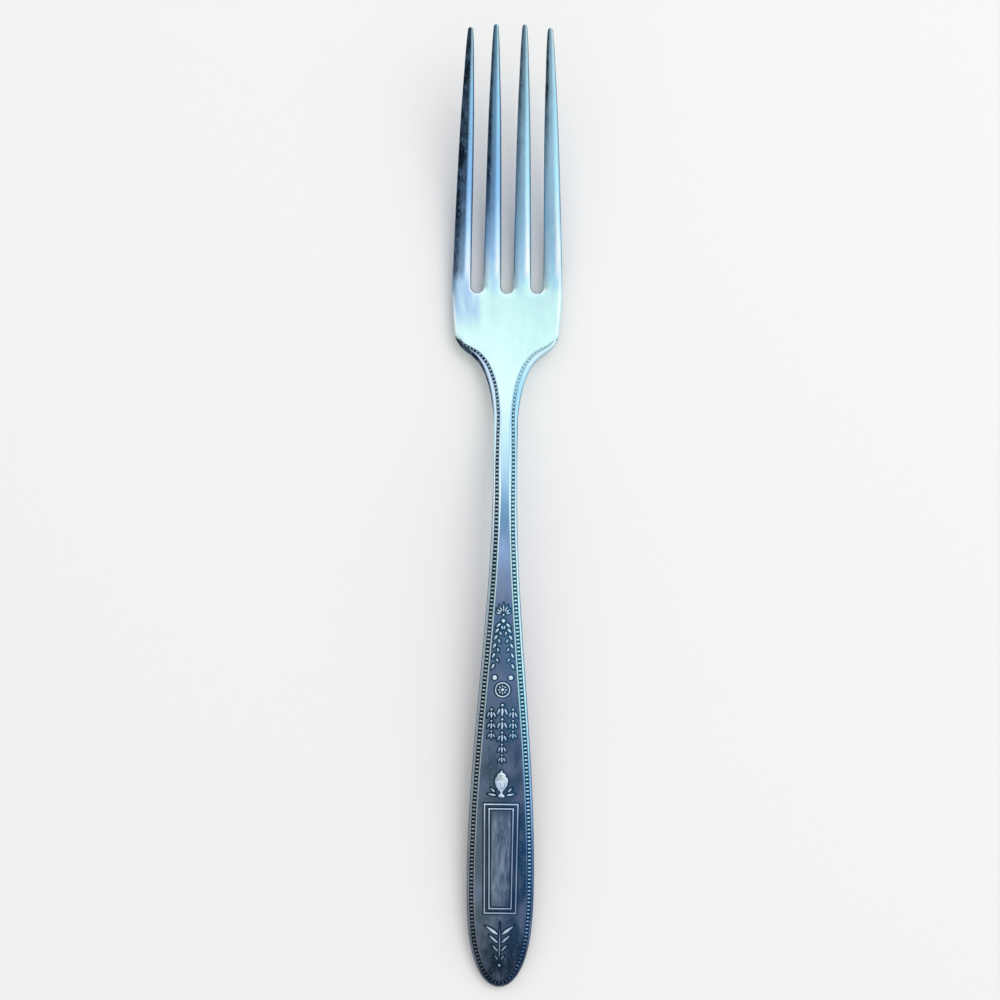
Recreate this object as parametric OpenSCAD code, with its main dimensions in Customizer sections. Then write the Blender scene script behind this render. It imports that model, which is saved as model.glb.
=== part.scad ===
// Dinner fork with four tines, a beaded border and a blank framed tablet on the handle.
// It lies face up: +Y runs from the handle's end to the tips, +X is to the right and +Z is up.
// Places along the fork are distances from the handle's end. The origin is under the middle.

/* [Fork] */
// Length in plan, from the handle's end to the tips of the inner tines
fork_length = 190; // [186:0.5:200]
// Width across the roots of the tines
head_width = 22.1; // [20:0.1:24]
// Height of the tips above the table
tip_height = 18.9; // [12:0.1:26]

/* [Handle] */
// Greatest width of the handle
handle_width = 13.5; // [12:0.1:16]
// Where the handle is widest
handle_widest_at = 24; // [20:0.5:30]
// How much of the round end is missing, so that it ends in a short flat
end_blunt = 0.06; // [0.03:0.01:0.2]
// Thickness at the handle's end, before its back is worn flat
end_thickness = 2.4; // [2:0.05:3]
// How deep the back of the handle's end is worn flat
end_wear = 0.5; // [0.3:0.05:0.8]
// Thickness where the handle is widest
handle_thickness = 3; // [2.2:0.05:3.5]
// Where the straight face of the handle ends and the neck's bend starts
handle_straight_to = 84; // [82:0.5:88]

/* [Neck] */
// Width of the neck
neck_width = 4.8; // [4.4:0.1:6]
// Where the handle has narrowed to the neck
neck_from = 100; // [95:0.5:106]
// Where the neck starts to widen to the shoulders
neck_to = 110; // [107:0.5:114]
// Where the face is highest
crest_at = 92; // [90:0.5:98]
// Height of the face there
crest_height = 10.9; // [8:0.1:14]
// Thickness of the neck there
neck_thickness = 3.9; // [3:0.05:4.5]

/* [Palm] */
// Where the shoulders end in a corner
shoulder_at = 130.6; // [129:0.1:132]
// Width across the two corners
shoulder_width = 20.8; // [19:0.1:21.8]
// Where the heel touches the table
heel_at = 134; // [132.5:0.1:136]
// How deep the heel is worn flat
heel_wear = 0.06; // [0.03:0.01:0.12]
// Thickness over the heel
palm_thickness = 2.75; // [2.2:0.05:3.3]
// Thickness at the roots of the tines
root_thickness = 2.6; // [2:0.05:3.1]
// How much the edges of the palm stand above its middle
palm_dish = 0.5; // [0.2:0.05:0.8]

/* [Tines] */
// Where the round end of each slot lies
slot_end_at = 139.8; // [138.5:0.1:142]
// Width of the slots at the roots
slot_width = 2.45; // [2.1:0.05:2.8]
// Width of the two inner tines at the root
inner_tine_width = 3.58; // [3.2:0.02:3.8]
// Distance from the centre line to the tips of the inner tines
inner_tip_offset = 2.77; // [2.4:0.01:3.1]
// Distance from the centre line to the tips of the outer tines
outer_tip_offset = 7.7; // [7:0.05:9]
// How much shorter the outer tines are
outer_tine_setback = 0.6; // [0:0.05:1.5]

/* [Border] */
// Radius of the edge between the face and the sides
edge_round = 0.12; // [0.08:0.01:0.2]
// Width of the plain rim
rim_width = 0.38; // [0.2:0.01:0.5]
// Length of a bead, across the border
bead_length = 0.84; // [0.6:0.01:0.9]
// Width of a bead, along the border
bead_width = 0.52; // [0.4:0.01:0.6]
// Height of a bead above the face
bead_height = 0.26; // [0.15:0.01:0.3]
// Distance from bead to bead
bead_pitch = 0.78; // [0.7:0.01:1]
// Width of the thin line inside the beads
line_width = 0.26; // [0.15:0.01:0.4]
// Height of the rim and the line above the face
relief_height = 0.2; // [0.1:0.01:0.3]
// Running gap between the strips and rows of the border
border_gap = 0.03; // [0.01:0.01:0.06]
// How far the beads of the round end reach along the edge from the middle
end_row_length = 12; // [8:0.5:20]

/* [Ornament] */
// Space between one motif and the next along the handle
motif_space = 1.2; // [0.8:0.05:1.3]
// Where the outer frame of the tablet starts
tablet_at = 15.1; // [14.6:0.1:15.6]
// Length of the outer frame
tablet_length = 22.6; // [20:0.1:23]
// Width of the outer frame at the end of the handle
tablet_low_width = 6.6; // [5.6:0.1:7.4]
// Width of the outer frame at the end towards the neck
tablet_high_width = 7; // [5.6:0.1:7.6]
// Width of the lines of both frames
frame_line = 0.34; // [0.2:0.01:0.45]
// Space between the outer and the inner frame
frame_space = 0.58; // [0.4:0.01:0.8]
// Height of the urn, which stands on the tablet
urn_height = 5.4; // [4:0.1:5.6]
// Greatest width of the urn
urn_width = 2.7; // [2:0.1:3]
// Length of the largest husks, which hang above the urn
husk_length = 2.8; // [2:0.1:2.9]
// Husks in the middle drop
husk_count = 5; // [3:1:5]
// Husks in each of the two side drops
side_husk_count = 3; // [1:1:4]
// Distance from the centre line to the side drops
side_drop_offset = 2.15; // [1.9:0.05:2.4]
// Radius of the patera that the husks hang from
patera_radius = 1.55; // [1.1:0.05:1.65]
// Length of the laurel festoon between the patera and the palmette
festoon_depth = 11; // [9:0.1:11.5]
// Half the width of the festoon
festoon_reach = 1.6; // [1.3:0.05:1.75]
// Leaves on each side of the festoon
festoon_leaves = 7; // [5:1:8]
// Length of the palmette, which points to the neck
palmette_length = 2.4; // [1.8:0.1:2.6]
// Length of the leaf spray below the tablet
spray_length = 9.6; // [7:0.1:10]
// Length of the largest leaves of the spray
spray_leaf = 3.3; // [1.8:0.1:3.6]

/* [Hidden] */

silver = [0.72, 0.77, 0.83];
bright_silver = [0.84, 0.89, 0.94];
// Clearance under everything that is seated on the face
seat = 0.02;
// Overrun of the cuts
over = 1;

// Half the slot's width is the radius of its end, and the tines start at its centre
root_at = slot_end_at + slot_width / 2;
slot_pitch = slot_width + inner_tine_width;
inner_root_offset = slot_pitch / 2;
outer_tine_width = head_width / 2 - slot_pitch - slot_width / 2;
outer_root_offset = (head_width - outer_tine_width) / 2;
end_face = end_thickness - end_wear;
heel_face = palm_thickness - heel_wear;
rise_slope = 2 * (crest_height - end_face) / (handle_straight_to + crest_at);
rise_angle = atan(rise_slope);

// Each husk is smaller than the one it hangs from, and its step is a little longer than itself
husk_shrink_share = 0.08;
husk_step_share = 1.04;
// Size of the side drops' husks beside those of the middle drop
side_husk_share = 0.8;
function drop_length(length, count) =
    husk_step_share * length * count * (1 - husk_shrink_share * (count - 1) / 2);

// Places of the motifs, chained from the tablet to the neck and to the end
urn_at = tablet_at + tablet_length + motif_space;
husks_to = urn_at + urn_height + motif_space + drop_length(husk_length, husk_count);
patera_at = husks_to + motif_space + patera_radius;
festoon_at = patera_at + patera_radius + motif_space;
palmette_at = festoon_at + festoon_depth + motif_space;
spray_at = tablet_at - motif_space - spray_length;

// Power of the curve round the handle's end, and how straight the taper behind it is
end_power = 3.2;
taper_straight_share = 0.25;
// Shoulder outline: place between neck and corner, and share of the widening
shoulder_shares = [[0, 0], [0.25, 0.015], [0.5, 0.115], [0.7, 0.3], [0.8, 0.5], [0.9, 0.82], [1, 1]];
// How much thinner the edges are than the middle
back_crown_share = 0.34;
// Columns of the cross-section between its two rounded edges
column_shares = [-1, -0.66, -0.33, 0, 0.33, 0.66, 1];
// Tine: place from the tip, and share of its width and of its thickness at the root
tine_width_shares = [[0, 0.06], [0.006, 0.14], [0.02, 0.22], [0.067, 0.4], [0.13, 0.48], [0.32, 0.69],
    [0.58, 0.85], [1, 1]];
tine_thickness_shares = [[0, 0.08], [0.006, 0.2], [0.02, 0.34], [0.067, 0.52], [0.3, 0.74], [1, 1]];
tine_station_shares = [0, 0.05, 0.1, 0.16, 0.22, 0.28, 0.34, 0.4, 0.46, 0.52, 0.58, 0.64, 0.7, 0.76, 0.82,
    0.87, 0.91, 0.94, 0.963, 0.98, 0.99, 0.996, 1];
// Round and boxy ends of the tine's section, as powers of a superellipse
tip_power = 2;
root_power = 4.5;
// Corners of a bead's base: share of its length across the border and of its width along it
bead_corner_shares = [[-0.5, 0], [-0.3, 0.5], [0.3, 0.5], [0.5, 0], [0.3, -0.5], [-0.3, -0.5]];
// Size of a bead's top beside its base
bead_top_share = 0.6;
// Profiles of the small half-round solids: place along them and share of their radius
bead_shares = [[-0.5, 0], [-0.46, 0.5], [-0.36, 0.86], [-0.2, 1], [0.2, 1], [0.36, 0.86], [0.46, 0.5],
    [0.5, 0]];
leaf_shares = [[-0.5, 0], [-0.36, 0.55], [-0.12, 1], [0.14, 0.86], [0.36, 0.4], [0.5, 0]];
dome_shares = [[0, 0], [1, 0], [0.92, 0.4], [0.7, 0.74], [0.38, 0.94], [0, 1]];
// Right half of the urn's outline: share of its half width, and of its height
urn_shares = [[0.5, 0], [0.5, 0.07], [0.2, 0.11], [0.16, 0.19], [0.5, 0.28], [0.88, 0.44], [1, 0.6],
    [0.92, 0.72], [0.6, 0.76], [0.74, 0.8], [0.5, 0.88], [0.16, 0.92], [0.12, 1]];

// Smooth curve through knots of [place, value]
function knot_at(knots, t, i = 0) =
    i >= len(knots) - 2 || t <= knots[i + 1][0] ? i : knot_at(knots, t, i + 1);
function knot_slope(knots, i) =
    let(a = max(i - 1, 0), b = min(i + 1, len(knots) - 1))
    (knots[b][1] - knots[a][1]) / (knots[b][0] - knots[a][0]);
function smooth(knots, t) =
    let(
        i = knot_at(knots, t),
        span = knots[i + 1][0] - knots[i][0],
        f = (t - knots[i][0]) / span,
        from = knot_slope(knots, i) * span,
        to = knot_slope(knots, i + 1) * span
    )
    (2 * f^3 - 3 * f^2 + 1) * knots[i][1] + (f^3 - 2 * f^2 + f) * from
    + (3 * f^2 - 2 * f^3) * knots[i + 1][1] + (f^3 - f^2) * to;
function ease(t) = t <= 0 ? 0 : t >= 1 ? 1 : t * t * (3 - 2 * t);
function half_cosine(t) = (1 + cos(180 * t)) / 2;
function unit(v) = v / norm(v);

// Half the width at u: round end, taper, neck, shoulders and head
function end_half_width(u) =
    handle_width / 2 * sqrt(1 - pow(1 - (u + end_blunt) / (handle_widest_at + end_blunt), end_power));
function taper_half_width(u) =
    let(t = (u - handle_widest_at) / (neck_from - handle_widest_at))
    neck_width / 2 + (handle_width - neck_width) / 2
    * ((1 - taper_straight_share) * half_cosine(t) + taper_straight_share * (1 - t));
function shoulder_half_width(u) =
    neck_width / 2 + (shoulder_width - neck_width) / 2
    * smooth(shoulder_shares, (u - neck_to) / (shoulder_at - neck_to));
function head_half_width(u) =
    shoulder_width / 2 + (head_width - shoulder_width) / 2
    * sin(90 * (u - shoulder_at) / (root_at - shoulder_at));
function half_width(u) =
    u < handle_widest_at ? end_half_width(u)
    : u < neck_from ? taper_half_width(u)
    : u < neck_to ? neck_width / 2
    : u < shoulder_at ? shoulder_half_width(u)
    : head_half_width(min(u, root_at));

// Height of the face on the centre line: straight handle, bend to the crest, fall to the heel, tines
function face_centre(u) =
    u < handle_straight_to ? end_face + rise_slope * u
    : u < crest_at ? crest_height - rise_slope * pow(crest_at - u, 2) / (2 * (crest_at - handle_straight_to))
    : u < heel_at
        ? heel_face + (crest_height - heel_face) * half_cosine((u - crest_at) / (heel_at - crest_at))
    : heel_face + (tip_height - heel_face) * pow((u - heel_at) / (fork_length - heel_at), 2);
function dish(u) = palm_dish * ease((u - neck_to) / (heel_at - neck_to));
function face(x, u) = face_centre(u) + dish(u) * pow(2 * x / head_width, 2);
thickness_knots = [[0, end_thickness], [handle_widest_at, handle_thickness], [crest_at, neck_thickness],
    [heel_at, palm_thickness], [root_at, root_thickness]];
function thickness(x, u) =
    smooth(thickness_knots, u) * (1 - back_crown_share * pow(x / half_width(u), 2));

// A cross-section has its face from left to right, then its back from right to left
function section(u) =
    let(
        h = half_width(u),
        xs = concat([-h], [for (c = column_shares) c * (h - edge_round)], [h]),
        n = len(xs) - 1
    )
    concat(
        [for (i = [0:n]) [xs[i], u, face(xs[i], u) - (i == 0 || i == n ? edge_round : 0)]],
        [for (i = [n:-1:0])
            [xs[i], u, face(xs[i], u) - thickness(xs[i], u) + (i == 0 || i == n ? edge_round : 0)]]
    );

// Stations along the handle, the neck and the palm
end_angle = acos(pow(handle_widest_at / (handle_widest_at + end_blunt), end_power / 2));
end_steps = 12;
function end_station(i) =
    let(a = end_angle + (90 - end_angle) * i / end_steps)
    (handle_widest_at + end_blunt) * (1 - pow(cos(a), 2 / end_power)) - end_blunt;
function stations(from, to, steps) = [for (i = [0:steps]) from + (to - from) * i / steps];
end_stations = [for (i = [0:end_steps - 1]) end_station(i)];
taper_stations = stations(handle_widest_at, handle_straight_to, 15);
neck_stations = stations(handle_straight_to, neck_to, 13);
shoulder_stations = stations(neck_to, shoulder_at, 20);
head_stations = stations(shoulder_at, root_at, 7);

// Closed skin over a row of cross-sections of equal counts
module loft(rings) {
    n = len(rings[0]);
    last = len(rings) - 1;
    sides = [for (i = [0:last - 1], j = [0:n - 1])
        let(a = i * n + j, b = i * n + (j + 1) % n)
        each [[a, a + n, b + n], [a, b + n, b]]];
    caps = [for (k = [0:n / 2 - 2])
        let(a = k, b = k + 1, c = n - 2 - k, d = n - 1 - k, e = last * n)
        each [[a, b, c], [a, c, d], [e + a, e + c, e + b], [e + a, e + d, e + c]]];
    translate([0, -fork_length / 2, 0])
        polyhedron([for (r = rings) each r], concat(sides, caps));
}

// Below the table nothing is left: this wears the heel and the handle's end flat
module above_table() {
    difference() {
        children();
        translate([-head_width, -fork_length, -head_width])
            cube([2 * head_width, 2 * fork_length, head_width]);
    }
}

module handle() {
    color(silver) above_table() loft([for (u = concat(end_stations, taper_stations)) section(u)]);
}

module neck() {
    color(silver) loft([for (u = neck_stations) section(u)]);
}

module palm() {
    rows = concat([for (i = [0:len(shoulder_stations) - 2]) shoulder_stations[i]], head_stations);
    color(silver) above_table() difference() {
        loft([for (u = rows) section(u)]);
        for (side = [-1, 0, 1])
            translate([side * slot_pitch, root_at - fork_length / 2, -over])
                cylinder(d = slot_width, h = tip_height + over, $fn = 48);
    }
}

// Tine section: a superellipse that turns from boxy at the root to oval at the tip
section_angles = [168:-19.5:12];
function signed_power(v, p) = sign(v) * pow(abs(v), p);
function tine_ring(x, u, width, depth, power) =
    let(reach = pow(cos(section_angles[2]), 2 / power))
    concat(
        [for (a = section_angles)
            [x + width / 2 * signed_power(cos(a), 2 / power) / reach, u,
                face(x, u) - depth / 2 * (1 - pow(sin(a), 2 / power))]],
        [for (i = [len([for (a = section_angles) a]) - 1:-1:0])
            let(a = section_angles[0] + i * section_angles[1])
            [x + width / 2 * signed_power(cos(a), 2 / power) / reach, u,
                face(x, u) - depth / 2 * (1 + pow(sin(a), 2 / power))]]
    );

module tine(root_offset, tip_offset, root_width, length) {
    root_depth = thickness(abs(root_offset), root_at);
    color(silver) loft([for (f = tine_station_shares)
        tine_ring(
            root_offset + (tip_offset - root_offset) * pow(f, 1.25),
            root_at + length * f,
            root_width * smooth(tine_width_shares, 1 - f),
            root_depth * smooth(tine_thickness_shares, 1 - f),
            root_power + (tip_power - root_power) * ease(f * 2)
        )]);
}

module inner_tine(side) {
    tine(side * inner_root_offset, side * inner_tip_offset, inner_tine_width, fork_length - root_at);
}

module outer_tine(side) {
    tine(side * outer_root_offset, side * outer_tip_offset, outer_tine_width,
        fork_length - root_at - outer_tine_setback);
}

// Border paths: the right half of the outline from the middle of the end to the shoulder, moved inwards
border_to = shoulder_at - 2 * bead_pitch;
border_stations = concat(end_stations, taper_stations,
    [for (i = [1:len(neck_stations) - 1]) neck_stations[i]],
    [for (i = [1:len(shoulder_stations) - 1]) if (shoulder_stations[i] < border_to) shoulder_stations[i]],
    [border_to]);
outline = [for (u = border_stations) [half_width(u), u]];
function outline_way(i) =
    i == 0 ? [1, 0] : unit(outline[min(i + 1, len(outline) - 1)] - outline[i - 1]);
function border_half(inset) = concat(
    [[0, inset]],
    [for (i = [0:len(outline) - 1]) let(w = outline_way(i)) outline[i] + inset * [-w[1], w[0]]]
);
function border_path(inset) =
    let(half = border_half(inset))
    concat([for (i = [len(half) - 1:-1:1]) [-half[i][0], half[i][1]]], half);
function on_face(p, lift) = [p[0], p[1], face(p[0], p[1]) + lift];

// Raised strip along the whole border, between two insets from the edge
module border_strip(inset, width) {
    bevel = width / 5;
    low_out = border_path(inset);
    high_out = border_path(inset + bevel);
    high_in = border_path(inset + width - bevel);
    low_in = border_path(inset + width);
    color(bright_silver) loft([for (i = [0:len(low_out) - 1]) [
        on_face(high_out[i], seat + relief_height), on_face(high_in[i], seat + relief_height),
        on_face(low_in[i], seat), on_face(low_out[i], seat)]]);
}

rim_inset = edge_round;
bead_inset = rim_inset + rim_width + border_gap + bead_length / 2;
line_inset = bead_inset + bead_length / 2 + border_gap;

module outer_rim_line() {
    border_strip(rim_inset, rim_width);
}

module inner_rim_line() {
    border_strip(line_inset, line_width);
}

// Places of the beads: equal steps along the right half of their path
bead_path = border_half(bead_inset);
bead_runs = [for (i = 0, s = 0; i < len(bead_path);
    s = s + (i + 1 < len(bead_path) ? norm(bead_path[i + 1] - bead_path[i]) : 0), i = i + 1) [s, i]];
bead_path_length = bead_runs[len(bead_runs) - 1][0];
bead_count = round(bead_path_length / bead_pitch);
bead_step = bead_path_length / (bead_count + 0.5);
function along_beads(s) =
    let(f = lookup(s, bead_runs), i = min(floor(f), len(bead_path) - 2), r = f - i)
    bead_path[i] * (1 - r) + bead_path[i + 1] * r;

// A bead is a short transverse bar with six corners, drawn in at its top
bead_corners = [for (c = bead_corner_shares) [c[0] * bead_length, c[1] * bead_width]];

function bead_points(i) =
    let(
        s = i * bead_step,
        reach = bead_step / 2,
        p = along_beads(s),
        ahead = along_beads(s + reach),
        behind = s == 0 ? [-ahead[0], ahead[1]] : along_beads(s - reach),
        slope_x = (face(p[0] + reach, p[1]) - face(p[0] - reach, p[1])) / (2 * reach),
        slope_u = (face(p[0], p[1] + reach) - face(p[0], p[1] - reach)) / (2 * reach),
        up = unit([-slope_x, -slope_u, 1]),
        across = unit(cross(on_face(ahead, 0) - on_face(behind, 0), up)),
        way = cross(up, across),
        base = on_face(p, seat)
    )
    concat(
        [for (c = bead_corners) base + c[0] * across + c[1] * way],
        [for (c = bead_corners) base + bead_top_share * (c[0] * across + c[1] * way) + bead_height * up]
    );

// Beads from one number to another, as separate closed skins
module beads(from, to) {
    n = len(bead_corners);
    count = to - from + 1;
    faces = [for (b = [0:count - 1]) let(o = 2 * n * b) each concat(
        [[for (k = [0:n - 1]) o + k], [for (k = [n - 1:-1:0]) o + n + k]],
        [for (k = [0:n - 1]) [o + k, o + n + k, o + n + (k + 1) % n, o + (k + 1) % n]]
    )];
    translate([0, -fork_length / 2, 0])
        polyhedron([for (i = [from:to]) each bead_points(i)], faces);
}

end_row_count = floor(end_row_length / bead_step);

module right_beading() {
    color(bright_silver) beads(end_row_count + 1, bead_count);
}

module left_beading() {
    color(bright_silver) mirror([1, 0, 0]) beads(end_row_count + 1, bead_count);
}

module end_beading() {
    color(bright_silver) {
        beads(0, end_row_count);
        mirror([1, 0, 0]) beads(1, end_row_count);
    }
}

// Half-round solid of revolution lying along X, with its flat side down
module half_spindle(length, radius, shares) {
    rotate([90, 0, 90]) rotate_extrude(angle = 180, $fn = 24)
        polygon([for (s = shares) [s[1] * radius, s[0] * length]]);
}

// The ornament lies on the straight face of the handle, with its own +Y towards the neck
module on_handle(u, x = 0) {
    translate([0, u - fork_length / 2, face_centre(u) + seat]) rotate([rise_angle, 0, 0])
        translate([x, 0, 0]) children();
}

// Leaf from a point at the origin along the given direction, 0 being towards the neck
module leaf(length, width, angle = 0) {
    rotate([0, 0, angle + 90]) translate([length / 2, 0, 0]) half_spindle(length, width / 2, leaf_shares);
}

module dome(radius, height) {
    rotate_extrude($fn = 32) polygon([for (s = dome_shares) [s[0] * radius, s[1] * height]]);
}

module ring(radius, width, height) {
    rotate_extrude($fn = 48) polygon([
        [radius - width / 2, 0], [radius + width / 2, 0],
        [radius + width / 4, height], [radius - width / 4, height]]);
}

// Three hanging leaves under a bead
module husk(length) {
    bead_radius = length / 9;
    side = length * 0.17;
    translate([0, length - bead_radius, 0]) dome(bead_radius, bead_radius);
    translate([0, length - 2.5 * bead_radius, 0]) leaf(length - 2.5 * bead_radius, length / 5, 180);
    for (way = [-1, 1])
        translate([way * side, length - 3.2 * bead_radius, 0])
            leaf(length * 0.56, length / 6, 180 + way * 24);
}

module drop(top, length, count, x = 0) {
    for (i = [0:count - 1]) {
        size = length * (1 - husk_shrink_share * i);
        on_handle(top - drop_length(length, i) - size, x) husk(size);
    }
}

module husk_drop() {
    color(bright_silver) drop(husks_to, husk_length, husk_count);
}

module side_husk_drop(side) {
    color(bright_silver) drop(husks_to - husk_length / 3, husk_length * side_husk_share, side_husk_count,
        side * side_drop_offset);
}

module patera() {
    petal = patera_radius * 0.42;
    color(bright_silver) on_handle(patera_at) {
        dome(patera_radius * 0.22, relief_height);
        for (i = [0:7])
            rotate([0, 0, i * 45]) translate([0, patera_radius * 0.28, 0]) leaf(petal, petal * 0.52);
        ring(patera_radius * 0.9, patera_radius * 0.2, relief_height);
    }
}

module palmette() {
    color(bright_silver) on_handle(palmette_at) {
        dome(palmette_length / 10, relief_height);
        for (i = [-3:3])
            rotate([0, 0, i * 24]) translate([0, palmette_length * 0.22, 0])
                leaf(palmette_length * (0.78 - 0.1 * abs(i)), palmette_length * 0.13);
    }
}

// Two laurel branches that part at the palmette's end and run out to small rosettes
bow_depth_power = 1.6;
function bow(t) = [festoon_reach * sin(90 * t), festoon_depth * pow(t, bow_depth_power), 0];
module laurel_festoon() {
    size = festoon_depth / festoon_leaves;
    step = 1 / festoon_leaves;
    color(bright_silver) on_handle(festoon_at + festoon_depth) mirror([0, 1, 0]) {
        dome(size / 4, relief_height);
        for (side = [0, 1]) mirror([side, 0, 0]) {
            for (i = [1:festoon_leaves - 1]) {
                outer = i * step;
                inner = (i - 0.5) * step;
                way = bow(outer + step / 2) - bow(outer - step / 2);
                lean = atan2(way[0], way[1]);
                translate(bow(outer) + [size * 0.1, 0, 0]) leaf(size * 0.84, size * 0.32, -lean - 24);
                if (i > 1)
                    translate(bow(inner) - [size * 0.12, 0, 0]) leaf(size * 0.6, size * 0.26, 30 - lean);
            }
            translate(bow(1) + [0, size / 4, 0]) dome(size * 0.32, relief_height);
        }
    }
}

module urn() {
    right = [for (s = urn_shares) [s[0] * urn_width / 2, s[1] * urn_height]];
    left = [for (i = [len(right) - 1:-1:0]) [-right[i][0], right[i][1]]];
    side_leaf = urn_width * 0.7;
    color(bright_silver) on_handle(urn_at) {
        linear_extrude(relief_height) polygon(concat(right, left));
        for (side = [0, 1]) mirror([side, 0, 0]) {
            translate([urn_width * 0.36, urn_height * 0.06, 0]) leaf(side_leaf, side_leaf * 0.22, -80);
            translate([urn_width * 0.46, urn_height * 0.17, 0]) leaf(side_leaf * 0.72, side_leaf * 0.2, -44);
        }
    }
}

// Frame lines of the tablet: a bar of even width along a four-sided outline
module frame(from, length, low_width, high_width) {
    line = frame_line;
    on_handle(from) linear_extrude(relief_height) difference() {
        polygon([[-low_width / 2, 0], [low_width / 2, 0],
            [high_width / 2, length], [-high_width / 2, length]]);
        polygon([[line - low_width / 2, line], [low_width / 2 - line, line],
            [high_width / 2 - line, length - line], [line - high_width / 2, length - line]]);
    }
}

module tablet_outer_frame() {
    color(bright_silver) frame(tablet_at, tablet_length, tablet_low_width, tablet_high_width);
}

module tablet_inner_frame() {
    in = frame_line + frame_space;
    color(bright_silver)
        frame(tablet_at + in, tablet_length - 2 * in, tablet_low_width - 2 * in, tablet_high_width - 2 * in);
}

// Stem with pairs of leaves that grow towards the tablet
spray_pairs = 4;
module leaf_spray() {
    stem = spray_leaf / 12;
    smallest_share = 0.42;
    color(bright_silver) on_handle(spray_at) {
        translate([0, stem, 0]) dome(stem, relief_height);
        translate([0, spray_length * 0.54, 0]) rotate([0, 0, 90])
            half_spindle(spray_length * 0.84, stem / 2, bead_shares);
        for (i = [0:spray_pairs - 1], side = [-1, 1]) {
            f = i / (spray_pairs - 1);
            size = spray_leaf * (smallest_share + (1 - smallest_share) * f);
            translate([side * stem * 0.9, spray_length * (0.14 + 0.54 * f), 0])
                leaf(size, size * 0.2, -side * (36 + 18 * f));
        }
    }
}

outer_tine(-1);  // outer_tine_left
inner_tine(-1);  // inner_tine_left
inner_tine(1);  // inner_tine_right
outer_tine(1);  // outer_tine_right
palm();
neck();
handle();
outer_rim_line();
left_beading();
right_beading();
end_beading();
inner_rim_line();
palmette();
laurel_festoon();
patera();
husk_drop();
side_husk_drop(-1);  // left_husk_drop
side_husk_drop(1);  // right_husk_drop
urn();
tablet_outer_frame();
tablet_inner_frame();
leaf_spray();
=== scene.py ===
"""Dinner fork with a beaded border: its looks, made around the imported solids.

The fork lies face up on a pale floor with +Y towards the tips and +Z up. Sizes are in millimetres
until a mesh is made. A place along the fork, u, is its distance from the handle's end, so that the
frame's own Y is u less half the fork's length.
"""
import logging
import math
from dataclasses import dataclass, field
from enum import Enum

import bmesh
import bpy
import numpy as np
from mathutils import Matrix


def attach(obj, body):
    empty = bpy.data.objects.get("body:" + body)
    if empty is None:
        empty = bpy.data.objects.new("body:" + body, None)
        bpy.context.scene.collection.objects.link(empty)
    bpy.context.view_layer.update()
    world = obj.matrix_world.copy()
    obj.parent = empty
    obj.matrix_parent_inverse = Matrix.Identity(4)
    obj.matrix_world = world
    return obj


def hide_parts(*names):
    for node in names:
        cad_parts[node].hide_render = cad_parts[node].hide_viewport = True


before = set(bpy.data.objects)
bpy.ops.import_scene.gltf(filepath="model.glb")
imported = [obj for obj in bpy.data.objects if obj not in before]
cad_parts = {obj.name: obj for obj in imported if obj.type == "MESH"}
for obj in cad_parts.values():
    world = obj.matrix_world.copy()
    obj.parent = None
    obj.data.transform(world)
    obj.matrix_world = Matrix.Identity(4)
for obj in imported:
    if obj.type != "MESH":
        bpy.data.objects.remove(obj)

LOG = logging.getLogger("dinner_fork")
MM = 0.001
BODY = "root"
EDGE_POINTS = 19

Socket = bpy.types.NodeSocket
# red, green and blue
Colour = tuple[float, float, float]
# a place along the fork with the colours at its left and at its right edge: painted reflections, with painted
# light and shade between the two sides
ToneRow = tuple[float, Colour, Colour]
# three marks along a tine: near its root, halfway and near its tip
Levels = tuple[float, float, float]


class Side(Enum):
    """Side of the centre line, as the sign of X."""

    LEFT = -1
    RIGHT = 1


class TineKind(Enum):
    """Place of a tine in the row of four."""

    INNER = "inner"
    OUTER = "outer"


class Slot(Enum):
    """Material slots of the record."""

    PLATE = "silver_plate"
    RELIEF = "bright_relief"


def smooth_curve(knots: list[tuple[float, float]], t: np.ndarray) -> np.ndarray:
    """Smooth curve through knots, a cubic with the slope of its neighbours' chord at each knot.

    Args:
        knots: Pairs of place and value.
        t: Places to read the curve at.

    Returns:
        The values, in the shape of t.
    """
    places, values = np.array(knots, float).T
    before = np.maximum(np.arange(len(places)) - 1, 0)
    after = np.minimum(np.arange(len(places)) + 1, len(places) - 1)
    slopes = (values[after] - values[before]) / (places[after] - places[before])
    i = np.clip(np.searchsorted(places, t, side="left") - 1, 0, len(places) - 2)
    span = places[i + 1] - places[i]
    f = (t - places[i]) / span
    return (
        (2 * f**3 - 3 * f**2 + 1) * values[i]
        + (f**3 - 2 * f**2 + f) * slopes[i] * span
        + (3 * f**2 - 2 * f**3) * values[i + 1]
        + (f**3 - f**2) * slopes[i + 1] * span
    )


def ease(t: np.ndarray) -> np.ndarray:
    """Smooth step from 0 at t = 0 to 1 at t = 1."""
    t = np.clip(t, 0, 1)
    return t * t * (3 - 2 * t)


def half_cosine(t: np.ndarray) -> np.ndarray:
    """Half a cosine wave from 1 at t = 0 to 0 at t = 1."""
    return (1 + np.cos(math.pi * t)) / 2


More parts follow.
